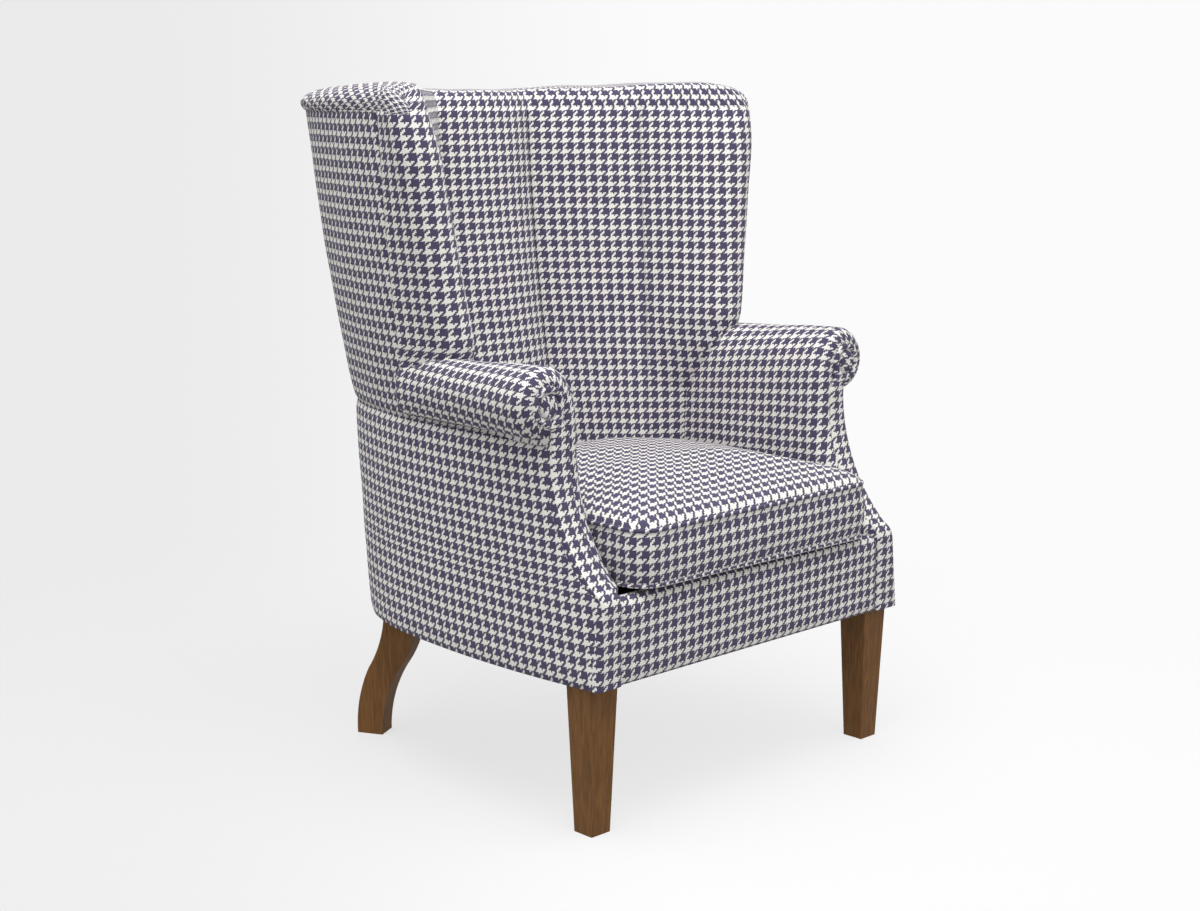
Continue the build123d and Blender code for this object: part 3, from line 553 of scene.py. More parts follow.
# Materials
def put(tree, slot, value):
    """Links a socket to an input, or sets the input to a value."""
    if isinstance(value, bpy.types.NodeSocket):
        tree.links.new(value, slot)
    else:
        slot.default_value = value


def node(tree, kind, **values):
    """New shader node; values set its properties, or go to its inputs by number (in0, in1 and so on)."""
    made = tree.nodes.new(kind)
    for key, value in values.items():
        if key[2:].isdigit():
            put(tree, made.inputs[int(key[2:])], value)
        else:
            setattr(made, key, value)
    return made


def math_node(tree, operation, first, second=0.0, third=0.0):
    """Output of a math node on sockets or numbers."""
    return node(tree, "ShaderNodeMath", operation=operation, in0=first, in1=second, in2=third).outputs[0]


def map_range(tree, value, source, target, kind="LINEAR"):
    """Output of a node that maps a value from one range to another."""
    made = node(tree, "ShaderNodeMapRange", interpolation_type=kind, in0=value)
    for slot, bound in zip(made.inputs[1:5], (*source, *target)):
        slot.default_value = bound
    return made.outputs[0]


def noise(tree, place, scale, detail, roughness=0.5):
    """Noise node at a place."""
    return node(tree, "ShaderNodeTexNoise", in0=place, in2=scale, in3=detail, in4=roughness)


def choose(tree, pick, first, second):
    """First where pick is 1 and second where it is 0."""
    kept = math_node(tree, "MULTIPLY", pick, first)
    other = math_node(tree, "MULTIPLY", math_node(tree, "SUBTRACT", 1.0, pick), second)
    return math_node(tree, "ADD", kept, other)


def thread_nodes(tree, at_repeat):
    """Sockets for the threads of one direction: their number, whether they are dark, their round height."""
    at = math_node(tree, "MULTIPLY", at_repeat, THREADS)
    number = math_node(tree, "FLOOR", at)
    dark = math_node(tree, "LESS_THAN", math_node(tree, "FLOORED_MODULO", at, THREADS), DARK_THREADS)
    wave = math_node(tree, "SINE", math_node(tree, "MULTIPLY", at, pi))
    return number, dark, math_node(tree, "ABSOLUTE", wave)


def houndstooth_group():
    """Node group: houndstooth from UV in repeats, with dark and light threads woven two over two."""
    group = bpy.data.node_groups.new("Houndstooth", "ShaderNodeTree")
    group.interface.new_socket("UV", in_out="INPUT", socket_type="NodeSocketVector")
    group.interface.new_socket("Dark", in_out="INPUT", socket_type="NodeSocketColor")
    group.interface.new_socket("Light", in_out="INPUT", socket_type="NodeSocketColor")
    group.interface.new_socket("Color", in_out="OUTPUT", socket_type="NodeSocketColor")
    group.interface.new_socket("Height", in_out="OUTPUT", socket_type="NodeSocketFloat")
    uv, dark_yarn, light_yarn = node(group, "NodeGroupInput").outputs[:3]
    push = noise(group, uv, scale=0.55, detail=2.0).outputs["Color"]
    bend = node(group, "ShaderNodeVectorMath", operation="MULTIPLY_ADD", in0=push, in1=WOBBLE, in2=uv)
    split = node(group, "ShaderNodeSeparateXYZ", in0=bend.outputs[0])
    warp, warp_dark, warp_round = thread_nodes(group, split.outputs[0])
    weft, weft_dark, weft_round = thread_nodes(group, split.outputs[1])
    step = math_node(group, "FLOORED_MODULO", math_node(group, "SUBTRACT", warp, weft), TWILL)
    over = math_node(group, "LESS_THAN", step, OVER_THREADS)
    dark = choose(group, over, warp_dark, weft_dark)
    thread = choose(group, over, warp_round, weft_round)
    fuzz = noise(group, uv, scale=38.0, detail=3.0, roughness=0.7).outputs[0]
    nap = math_node(group, "MULTIPLY", fuzz, 0.6)
    height = math_node(group, "ADD", math_node(group, "MULTIPLY", thread, 0.7), nap)
    mix = "ShaderNodeMix"
    yarn = node(group, mix, data_type="RGBA", in0=dark, in6=light_yarn, in7=dark_yarn).outputs[2]
    tone = map_range(group, fuzz, (0.3, 0.7), (0.78, 1.16))
    speck = node(group, mix, data_type="RGBA", blend_type="MULTIPLY", in0=1.0, in6=yarn, in7=tone)
    node(group, "NodeGroupOutput", in0=speck.outputs[2], in1=height)
    return group


def new_material(name, roughness, specular):
    """New material, its node tree and its shader."""
    material = bpy.data.materials.new(name)
    material.use_nodes = True
    shader = material.node_tree.nodes["Principled BSDF"]
    shader.inputs["Roughness"].default_value = roughness
    shader.inputs["Specular IOR Level"].default_value = specular
    return material, material.node_tree, shader


def add_relief(tree, shader, height, strength, distance):
    """Bump from a height socket on a shader's normal; the distance is in metres."""
    bump = node(tree, "ShaderNodeBump")
    bump.inputs["Strength"].default_value = strength
    bump.inputs["Distance"].default_value = distance
    put(tree, bump.inputs["Height"], height)
    put(tree, shader.inputs["Normal"], bump.outputs[0])


def cloth_material(settings):
    """Woven houndstooth: matt, with the threads' relief and a soft sheen at grazing angles."""
    material, tree, shader = new_material("Houndstooth cloth", roughness=0.92, specular=0.15)
    uv = node(tree, "ShaderNodeUVMap", uv_map="cloth").outputs[0]
    dark, light = (*settings.dark, 1.0), (*settings.light, 1.0)
    weave = node(tree, "ShaderNodeGroup", node_tree=houndstooth_group(), in0=uv, in1=dark, in2=light)
    put(tree, shader.inputs["Base Color"], weave.outputs["Color"])
    add_relief(tree, shader, weave.outputs["Height"], settings.relief, distance=0.0006)
    shader.inputs["Sheen Weight"].default_value = 0.12
    shader.inputs["Sheen Roughness"].default_value = 0.5
    return material


def plain_cloth_material():
    """Dark lining cloth."""
    material, _, shader = new_material("Lining cloth", roughness=0.95, specular=0.1)
    shader.inputs["Base Color"].default_value = (0.022, 0.021, 0.022, 1.0)
    return material


def stretched_noise(tree, scale, roughness):
    """Output of a noise in object coordinates that are scaled along each axis."""
    place = node(tree, "ShaderNodeTexCoord").outputs["Object"]
    scaled = node(tree, "ShaderNodeMapping", in0=place, in3=scale).outputs[0]
    return noise(tree, scaled, scale=1.0, detail=3.0, roughness=roughness).outputs[0]


def wood_material(settings):
    """Stained wood with upright grain: distorted rings cut lengthwise and fine streaks along Z."""
    material, tree, shader = new_material("Leg wood", roughness=0.46, specular=0.35)
    figure = stretched_noise(tree, (60.0, 60.0, 5.0), roughness=0.55)
    streak = stretched_noise(tree, (900.0, 900.0, 22.0), roughness=0.6)
    rings = math_node(tree, "SINE", math_node(tree, "MULTIPLY", figure, 42.0))
    share = math_node(tree, "MULTIPLY_ADD", rings, 0.11, 0.35)
    mixed = math_node(tree, "MULTIPLY_ADD", streak, 0.75, math_node(tree, "SUBTRACT", share, 0.2))
    ramp = node(tree, "ShaderNodeValToRGB", in0=mixed)
    dark, light = ramp.color_ramp.elements
    dark.position, light.position = 0.25, 0.85
    dark.color = (*settings.wood_dark, 1.0)
    light.color = (*settings.wood_light, 1.0)
    put(tree, shader.inputs["Base Color"], ramp.outputs[0])
    add_relief(tree, shader, mixed, strength=0.12, distance=0.0004)
    return material


def cloth(context):
    """The houndstooth material, made on first use."""
    return bpy.data.materials.get("Houndstooth cloth") or cloth_material(context.scene.armchair_cloth)


def repeat_of(context):
    """Size of a houndstooth repeat in millimetres."""
    return context.scene.armchair_cloth.repeat / MM


# Settings
class ArmchairCloth(bpy.types.PropertyGroup):
    """Covering and wood."""

    repeat: bpy.props.FloatProperty(
        name="Repeat", description="Size of one houndstooth repeat", default=0.019, unit="LENGTH"
    )
    dark: bpy.props.FloatVectorProperty(
        name="Dark", description="Dark yarn", subtype="COLOR", size=3, default=(0.086, 0.0745, 0.138)
    )
    light: bpy.props.FloatVectorProperty(
        name="Light", description="Light yarn", subtype="COLOR", size=3, default=(0.92, 0.888, 0.84)
    )
    relief: bpy.props.FloatProperty(
        name="Relief", description="Strength of the threads' relief", default=0.5
    )
    wood_dark: bpy.props.FloatVectorProperty(
        name="Wood dark", description="Dark grain", subtype="COLOR", size=3, default=(0.109, 0.0445, 0.0092)
    )
    wood_light: bpy.props.FloatVectorProperty(
        name="Wood light", description="Light grain", subtype="COLOR", size=3, default=(0.266, 0.118, 0.0277)
    )


class ArmchairForm(bpy.types.PropertyGroup):
    """How the stuffing swells."""

    outside_crown: bpy.props.FloatProperty(
        name="Outside", description="Swelling of the outside panels", default=0.002, unit="LENGTH"
    )
    inside_crown: bpy.props.FloatProperty(
        name="Inside", description="Swelling of the inside panels", default=0.004, unit="LENGTH"
    )
    cushion_swell: bpy.props.FloatProperty(
        name="Cushion", description="Swelling of the cushion's sides", default=0.005, unit="LENGTH"
    )


class ArmchairStage(bpy.types.PropertyGroup):
    """Light and camera."""

    key_power: bpy.props.FloatProperty(
        name="Key", description="Power of the key light", default=56.0, unit="POWER"
    )
    fill_power: bpy.props.FloatProperty(
        name="Fill", description="Power of the fill light", default=5.0, unit="POWER"
    )
    ambient: bpy.props.FloatProperty(
        name="Ambient", description="Strength of the white surroundings", default=0.76
    )
    lens: bpy.props.FloatProperty(
        name="Lens", description="Focal length in millimetres", default=57.82
    )


# Pieces
def outside_arm_row(height):
    """Plan of the arm's outside from just behind the facing to the back's upright seam."""
    arm, side, corner = outside_arcs(height)[:3]
    start = asin((float(front_station(height)) + ARM_START - arm[1]) / arm[2])
    first = arc_points((*arm[:3], start, arm[4]), 60)
    return resample(join(first, arc_points(side, 40), arc_points(corner, 40)), 120)


def outside_wing_row(height):
    """Plan of the wing's outside from the wing's seam to the back's upright seam."""
    side, corner = outside_arcs(min(height, ROLL_BASE))[1:3]
    return resample(join(arc_points(side, 60), arc_points(corner, 50)), 80)


def outside_back_row(height):
    """Plan of the outside back from one upright seam to the other."""
    rear = outside_arcs(min(height, ROLL_BASE))[3]
    return arc_points((*rear[:3], rear[3], pi - rear[3]), 60)


class ARMCHAIR_OT_outside(bpy.types.Operator):
    """Builds the covering of the arms' outsides, the wings' outsides and the back"""

    bl_idname = "armchair.outside"
    bl_label = "Outside covering"

    def execute(self, context):
        repeat = repeat_of(context)
        crown = context.scene.armchair_form.outside_crown / MM
        points = stacked(outside_arm_row, np.linspace(HEM, ARM_SEAM, 44))
        uv = cloth_uv(-border_distance(points)[1], upward(points), repeat) + (0.4, 0.05)
        grid, weave = panel(points, uv, crown, (True, True, True, True), seed=11)
        both_sides(context, "outside_arm", grid, weave, OUTSIDE_FILL)
        seams = (True, True, True, False)
        points = stacked(outside_wing_row, np.linspace(ARM_SEAM, ROLL_BASE + OUTSIDE_OVERLAP, 56))
        uv = cloth_uv(-border_distance(points)[1], upward(points), repeat) + (0.4, 0.6)
        grid, weave = panel(points, uv, crown, seams, seed=12)
        both_sides(context, "outside_wing", tip_rounded(grid), weave, OUTSIDE_FILL)
        points = stacked(outside_back_row, np.linspace(HEM, ROLL_BASE + OUTSIDE_OVERLAP, 90))
        uv = cloth_uv(sideways(points), upward(points), repeat) + (0.0, 0.2)
        grid, weave = panel(points, uv, crown, seams, seed=13)
        piece(context, "outside_back", grid, weave, OUTSIDE_FILL)
        return {"FINISHED"}


def inside_level(height):
    """Height kept within the seams of the inside."""
    return min(max(height, SEAT), ROLL_BASE)


def wing_row(height):
    """Plan of the wing from the inner seam round the rolled edge to the outer seam.

    Below the arm's seam the outer end is drawn in by HIDDEN_DEPTH, out of sight behind the arm's covering.
    """
    level = inside_level(height)
    arc = outside_arcs(max(level, ARM_SEAM))[1]
    under = float(np.clip((HIDDEN_BELOW - level) / HIDDEN_RISE, 0, 1))
    outer = arc_points(arc, 2, -under * HIDDEN_DEPTH)[0]
    outer[1] = WING
    centre = along(WING_ROLL, level)
    runs = roll_runs(outer, inside_seams(level)[1], centre, WING_ROLL_RADIUS, (12, 12, 12, 30))
    return resample(join(*runs)[::-1], 64)


class ARMCHAIR_OT_wings(bpy.types.Operator):
    """Builds the stuffed wings with their rolled front edge"""

    bl_idname = "armchair.wings"
    bl_label = "Wings"

    def execute(self, context):
        crown = context.scene.armchair_form.inside_crown / MM
        points = stacked(wing_row, np.linspace(SEAT - SEAT_OVERLAP, ROLL_BASE + INSIDE_OVERLAP, 84))
        across = border_distance(points)[0] + seam_runs()[1]
        uv = cloth_uv(across, points[..., 2] / CLOTH_LEAN, repeat_of(context))
        seams = (True, True, False, FLAT)
        grid, weave = panel(points, uv, crown, seams, seed=21, seam_depth=0.8, seam_width=5.0)
        both_sides(context, "wing", tip_rounded(grid), weave, INSIDE_FILL)
        return {"FINISHED"}


def back_side_row(height):
    """Plan of the inside back's left panel from its near seam to its far seam."""
    return line(*inside_seams(inside_level(height)), 36)


def back_centre_row(height):
    """Plan of the inside back's middle panel from its right seam to its left seam."""
    arc = centre_arc(inside_seams(inside_level(height))[0])
    return arc_points((*arc[:3], -pi - arc[4], arc[4]), 44)


class ARMCHAIR_OT_inside_back(bpy.types.Operator):
    """Builds the panels of the inside back"""

    bl_idname = "armchair.inside_back"
    bl_label = "Inside back"

    def execute(self, context):
        repeat = repeat_of(context)
        crown = context.scene.armchair_form.inside_crown / MM
        heights = np.linspace(SEAT - SEAT_OVERLAP, ROLL_BASE + INSIDE_OVERLAP, 80)
        seams = (True, True, False, FLAT)
        half_centre = seam_runs()[0]
        side = stacked(back_side_row, heights)
        uv = cloth_uv(lengths(side[60]) + half_centre, side[..., 2] / CLOTH_LEAN, repeat)
        grid, weave = panel(side, uv, crown + SIDE_CROWN, seams, seed=31, seam_depth=0.0)
        both_sides(context, "inside_back", grid, weave, INSIDE_FILL)
        centre = stacked(back_centre_row, heights)
        uv = cloth_uv(lengths(centre[-1]) - half_centre, centre[..., 2] / CLOTH_LEAN, repeat)
        grid, weave = panel(centre, uv, crown, seams, seed=32, seam_depth=0.0)
        piece(context, "inside_back_centre", grid, weave, INSIDE_FILL)
        return {"FINISHED"}


def top_outline(inset, slope, under=False):
    """Outer and inner plan runs of the top roll's left half, from the middle of the back to the wing's tip.

    Below the widest ring the overhang shrinks to nothing, and the wing's rolled edge keeps its radius.
    """
    side, corner, rear = outside_arcs(ROLL_BASE)[1:]
    centre = along(WING_ROLL, ROLL_BASE)
    near, far = inside_seams(ROLL_BASE)
    near = (near[0], near[1] + inset)
    far = (far[0] + inset * sqrt(0.5), far[1] + inset * sqrt(0.5))
    edge = np.linspace(TOP_OVERHANG, TIP_OVERHANG, 19)
    grow = edge * (1 - inset / TOP_OVERHANG) if under else edge - np.linspace(slope, inset, 19)
    flank = arc_points(reverse(side), 19, grow)
    radius = WING_ROLL_RADIUS - (0.0 if under else TIP_NARROWING * inset)
    runs = roll_runs(flank[-1], far, centre, radius, (5, 9, 13, 17))
    back = arc_points(reverse(rear), 15, TOP_OVERHANG - slope)
    bend = arc_points(reverse(corner), 13, TOP_OVERHANG - slope)
    outer = join(back, bend, flank, runs[0], runs[1])
    inner = join(arc_points(centre_arc(near), 11), line(near, far, 19), runs[3][::-1], runs[2][::-1])
    return outer, inner


def top_half():
    """Left half of the top roll: rings up the inner side, over the crown, down the outer side and in.

    The rise dips in the middle of the back and falls off as a quarter circle towards the wing's tip.
    """
    base = top_outline(0.0, 0.0)[1]
    rise = TOP - ROLL_BASE - TOP_DIP * (1 - smooth(base[:, 0], *DIP_FADE))
    back = np.clip((lengths(base)[-1] - lengths(base)) / TIP_LENGTH, 0, 1)
    rise = rise * blend(TIP_RISE, 1.0, np.sqrt(1 - (1 - back) ** 2))
    low = WIDEST_RING * rise
    inner_rings, outer_rings = [], []
    for turn in np.linspace(0, pi / 2, 9):
        draw = 1 - cos(turn)
        inner = top_outline(TOP_ROUND * draw, TOP_SLOPE * draw)[1]
        inner_rings.append(lifted(inner, ROLL_BASE + rise * sin(turn)))
    for turn in np.radians(np.linspace(-UNDER_TURN, 90, 15)):
        draw, under = 1 - cos(turn), turn < 0
        inset = TOP_OVERHANG * 2 * draw if under else TOP_ROUND * draw
        outer = top_outline(inset, inset if under else TOP_SLOPE * draw, under)[0]
        reach = low / sin(radians(UNDER_TURN)) if under else rise - low
        outer_rings.append(lifted(outer, ROLL_BASE + (low + reach * sin(turn))))
    first, last = inner_rings[-1], outer_rings[-1]
    cap = []
    for share in np.linspace(0, 1, 9)[1:-1]:
        swell = np.array([0.0, 0.0, CAP_SWELL * sin(pi * share)])
        cap.append(first * (1 - share) + last * share + swell)
    hidden = TOP_OVERHANG + TOP_TUCK
    tucked = lifted(top_outline(hidden, hidden)[0], ROLL_BASE - 1.0)
    return np.array(inner_rings + cap + outer_rings[::-1] + [tucked])


class ARMCHAIR_OT_top_roll(bpy.types.Operator):
    """Builds the stuffed roll over the top of back and wings"""

    bl_idname = "armchair.top_roll"
    bl_label = "Top roll"

    def execute(self, context):
        half = top_half()
        base_outer, base_inner = top_outline(0.0, 0.0)
        weight = np.linspace(0, 1, len(half))[:, None]
        across = blend(lengths(base_inner), lengths(base_outer), weight)
        up = border_distance(half)[2] + ROLL_BASE / CLOTH_LEAN
        weave = cloth_uv(across, up, repeat_of(context))
        right, other = mirrored_grid(half, weave)
        points = np.concatenate([right[:, :-1], half], 1)
        uv = np.concatenate([other[:, :-1], weave], 1)
        soft = smooth(np.arange(len(points)), 0, 6)[:, None]
        points = tip_rounded(rippled(points, depth=1.2 * soft, size=160.0, seed=41))
        piece(context, "top_roll", points, uv, INSIDE_FILL, closed=True)
        return {"FINISHED"}


def arm_section(end):
    """Section of the inside arm and roll as (width, height) points, at the front (0) or at the wing (1).

    It runs from the foot through the hollow to the shoulder, the crest, the outer side, the tuck and a flap.
    """
    crest, outer, tuck = CREST[end], ROLL_SIDE[end], ROLL_TUCK[end]
    foot, shoulder = (ARM_FOOT, SEAT), (ARM_INNER, SHOULDER)
    x, z, r = circle_through(foot, (ARM_HOLLOW, blend(SEAT, SHOULDER, 0.55)), shoulder)
    a0 = atan2(foot[1] - z, foot[0] - x)
    a1 = atan2(shoulder[1] - z, shoulder[0] - x)
    a1 -= 2 * pi * (a1 - a0 > pi)
    a1 += 2 * pi * (a1 - a0 < -pi)
    inside = arc_points((x, z, r, a0, a1), 30)
    over_in = quarter(shoulder, (crest[0], SHOULDER), crest, 24)
    over_out = quarter(crest, (crest[0], outer[1]), outer, 24)
    beneath = quarter(outer, (tuck[0], outer[1]), tuck, 24)
    flap = line(tuck, (tuck[0] - 1.0, ARM_SEAM - 4.0), 6)
    return resample(join(inside, over_in, over_out, beneath, flap), 96)


def set_in(points, level, inward, back):
    """Points moved inwards against a level direction and back by a station."""
    return points - level * inward + np.array([0.0, back, 0.0])


def arm_grid():
    """Grid of the inside arm and roll from the wing to the front.

    The front is rounded off as a quarter circle towards the facing. Columns turned in close both ends.
    """
    near, far = arm_section(0), arm_section(1)
    start = front_station(near[:, 1])
    start = np.where(near[:, 1] < FOOT_TOP, np.maximum(start, FOOT_STATION), start)
    ahead = start[:, None] + ARM_ROUNDING * (1 - np.cos(np.linspace(0, pi / 2, 12)))
    stations = np.concatenate([ahead, np.linspace(start + ARM_ROUNDING, WING, 46, axis=1)[:, 1:]], 1)
    full = SWEEP[2][0]
    mix = np.clip((stations - full) / (WING - full), -0.4, 1)
    widths = blend(near[:, :1], far[:, :1], mix)
    points = np.stack([widths, stations + FRONT, blend(near[:, 1:], far[:, 1:], mix)], -1)[:, ::-1]
    level = unit(grid_normals(points) * np.array([1.0, 0.0, 1.0]))
    close = np.clip(1 - (points[..., 1] - points[:, -1:, 1]) / ARM_ROUNDING, 0, 1)
    draw = ARM_ROUNDING * (1 - np.sqrt(np.clip(1 - close**2, 0, 1)))
    points = points - level * draw[..., None]
    wing_end, wing_level = points[:, :1], level[:, :1]
    return np.concatenate([
        set_in(wing_end, wing_level, inward=28.0, back=8.0),
        set_in(wing_end, wing_level, inward=8.0, back=8.0),
        set_in(wing_end, wing_level, inward=2.0, back=5.0),
        points,
        set_in(points[:, -1:], level[:, -1:], inward=9.0, back=3.0),
    ], 1)


class ARMCHAIR_OT_arms(bpy.types.Operator):
    """Builds the stuffed inside arms with the roll, rounded in front towards the facing"""

    bl_idname = "armchair.arms"
    bl_label = "Arms"

    def execute(self, context):
        points = arm_grid()
        uv = cloth_uv(border_distance(points)[0], upward(points), repeat_of(context)) + (0.0, 0.45)
        soft = rippled(points, depth=0.8, size=120.0, seed=51)
        grid, weave = panel(soft, uv, 0.0, (False, False, False, True), seed=52, uneven=0.0)
        both_sides(context, "arm_pad", grid, weave, INSIDE_FILL)
        return {"FINISHED"}


def facing_heights():
    """Heights of the facing's rows, closer together at the knee and towards the top of the head."""
    low, high = KNEE[0][1], KNEE[2][1]
    rise = SCROLL[1] + SCROLL_RADIUS - SHOULDER
    return np.concatenate([
        np.linspace(HEM, low, 20),
        np.linspace(low + 2.0, high + 3.0, 14),
        np.linspace(high + 7.0, SHOULDER, 40),
        SHOULDER + rise * np.sin(np.linspace(0, pi / 2, 30)[1:]),
    ])


def facing_row(height):
    """Plan of the facing at a height: a strip out to the arm's outside, which becomes the round head."""
    station = float(front_station(height))
    arm = outside_arcs(min(height, ARM_SEAM))[0]
    outer = arm[0] + arm[2] * cos(asin((station - arm[1]) / arm[2]))
    disc = sqrt(max(SCROLL_RADIUS**2 - (height - SCROLL[1]) ** 2, 0.0))
    head = SCROLL[0] + disc
    share = float(smooth(height, *NECK_INNER)) * (height >= NECK_INNER_START)
    low = blend(FACING_INNER, SCROLL[0] - disc, share)
    high = head
    if height < NECK_OUTER[1]:
        neck = max(outer if height < ARM_SEAM else NECK_WIDTH, head if disc > 0 else 0.0)
        high = blend(outer, neck, float(smooth(height, *NECK_OUTER)))
    return line((low, station), (high, station), FACING_COLUMNS)


class ARMCHAIR_OT_facings(bpy.types.Operator):
    """Builds the strips on the arms' fronts with their round heads"""

    bl_idname = "armchair.facings"
    bl_label = "Arm facings"

    def execute(self, context):
        flat = stacked(facing_row, facing_heights())
        away = np.hypot(flat[..., 0] - SCROLL[0], flat[..., 2] - SCROLL[1])
        ring = RING_DEPTH * np.exp(-(((away - RING_RADIUS) / RING_WIDTH) ** 2))
        borders = border_distance(flat)
        edge = np.minimum(np.minimum(borders[0], borders[1]), borders[3])
        near_edge = np.clip(1 - edge / FACING_EDGE, 0, 1)
        bulge = FACING_BULGE * np.sqrt(np.clip(1 - near_edge**2, 0, 1)) - FACING_SUNK
        normal = grid_normals(flat)
        normal[-2:] = normal[-3]
        points = flat + normal * (bulge - ring)[..., None]
        swirl = SWIRL * (1 - smooth(away, *SWIRL_FADE))
        dx, dz = points[..., 0] - SCROLL[0], points[..., 2] - SCROLL[1]
        across = points[..., 0] + (dx * np.cos(swirl) - dz * np.sin(swirl) - dx)
        up = upward(points) + (dx * np.sin(swirl) + dz * np.cos(swirl) - dz)
        low = points[:, :1, 2:] < LOW_WRAP
        inner = points[:, :1] + np.where(low, np.array(LOW_TURN), np.array(HIGH_TURN))
        deep = inner + np.array([0.0, DEEP_WRAP, 0.0])
        outer = points[:, -1:] + np.array([0.0, OUTER_WRAP, 0.0])
        points = np.concatenate([deep, inner, points, outer], 1)
        pads = ((0, 0), (2, 1))
        wrap = np.array([-DEEP_WRAP - INNER_WRAP, -INNER_WRAP] + [0.0] * FACING_COLUMNS + [OUTER_WRAP])
        across = np.pad(across, pads, mode="edge") + wrap
        uv = cloth_uv(across, np.pad(up, pads, mode="edge"), repeat_of(context))
        both_sides(context, "arm_facing", points, uv, OUTSIDE_FILL)
        return {"FINISHED"}


class ARMCHAIR_OT_front_border(bpy.types.Operator):
    """Builds the stuffed strip below the cushion"""

    bl_idname = "armchair.front_border"
    bl_label = "Front border"

    def execute(self, context):
        edge = FACING + BORDER_ROUND
        lip = (edge + BORDER_LIP[0], BORDER_TOP - BORDER_LIP[1])
        side = join(
            line((FACING, HEM), (FACING, BORDER_KNEE), 24),
            quarter((FACING, BORDER_KNEE), (edge, BORDER_KNEE), (edge, BORDER_TOP), 8),
            line((edge, BORDER_TOP), lip, 4),
            line(lip, (lip[0] + BORDER_DROP[0], lip[1] - BORDER_DROP[1]), 4),
        )
        wide = np.linspace(-FACING_INNER, FACING_INNER, 80)
        points = np.stack(np.broadcast_arrays(wide, side[:, :1] + FRONT, side[:, 1:]), -1)
        uv = cloth_uv(sideways(points), upward(points), repeat_of(context)) + (0.5, 0.35)
        seams = (True, True, True, False)
        grid, weave = panel(points, uv, BORDER_CROWN, seams, seed=61, seam_depth=2.5, seam_width=6.0)
        piece(context, "front_border", grid, weave, OUTSIDE_FILL)
        return {"FINISHED"}


def corner_arc(before, here, after, radius):
    """Arc that rounds a corner between its neighbours, turned from one tangent point to the other."""
    a, b = unit(before - here), unit(after - here)
    half = acos(float(np.clip(a @ b, -1, 1))) / 2
    centre = here + unit(a + b) * radius / sin(half)
    start = here + a * radius / tan(half) - centre
    end = here + b * radius / tan(half) - centre
    mix = np.linspace(0, 1, 10)[:, None]
    turn = acos(float(np.clip(start @ end / radius**2, -1, 1)))
    return centre + (start * np.sin((1 - mix) * turn) + end * np.sin(mix * turn)) / sin(turn)


def cushion_outline(inset=0.0):
    """Closed plan of the cushion from the middle of its front: six rounded corners, drawn in by an inset."""
    nose, tail = PIPING + inset, CUSHION_DEPTH - inset
    wide, side, narrow = CUSHION_HALF - inset, CUSHION_SIDE - inset * 0.5, CUSHION_REAR - inset * 0.33
    left = [(wide, nose), (wide, side), (narrow, tail)]
    right = [(-x, y) for x, y in left[::-1]]
    corners = np.array([(0.0, nose)] + left + right + [(0.0, nose)])
    radii = [FRONT_CORNER, REAR_CORNER, REAR_CORNER, REAR_CORNER, REAR_CORNER, FRONT_CORNER]
    arcs = [corner_arc(*corners[i : i + 3], radius) for i, radius in enumerate(radii)]
    return resample(np.concatenate([corners[:1]] + arcs + [corners[-1:]]), 220)


def front_lift(points):
    """Rise of the cushion's lower edge in front, more on the right, fading out behind the front."""
    share = 1 - smooth(points[..., 1] - FRONT, *LIFT_FADE)
    return (FRONT_LIFT - LIFT_TILT * points[..., 0] / CUSHION_HALF) * share


def cushion_face(share, base, rise):
    """Top or underside of the cushion: rings drawn in to the middle by a share.

    The level is the base plus the rise times the root of 1-(1-s)^CROWN_POWER, lower near the edge.
    """
    middle = np.array(CUSHION_MIDDLE)
    plan = middle + (cushion_outline() - middle) * (1 - share)[:, None, None]
    crown = np.sqrt(np.maximum(1 - (1 - share) ** CROWN_POWER, 0.0))
    crown *= blend(EDGE_CROWN, 1.0, smooth(share, 0.0, 0.7))
    return lifted(plan, (base + rise * crown)[:, None])


def cord(height, radius):
    """Round cord along the cushion's edge at a height."""
    edge = cushion_outline()
    way = unit(np.gradient(edge, axis=0))
    side = np.stack([way[:, 1], -way[:, 0]], -1)
    side[-1] = side[0] = unit(side[0] + side[-1])
    turns = np.linspace(0, 2 * pi, 13)
    rings = [lifted(edge + side * radius * cos(a), height + radius * sin(a)) for a in turns]
    return np.array(rings)


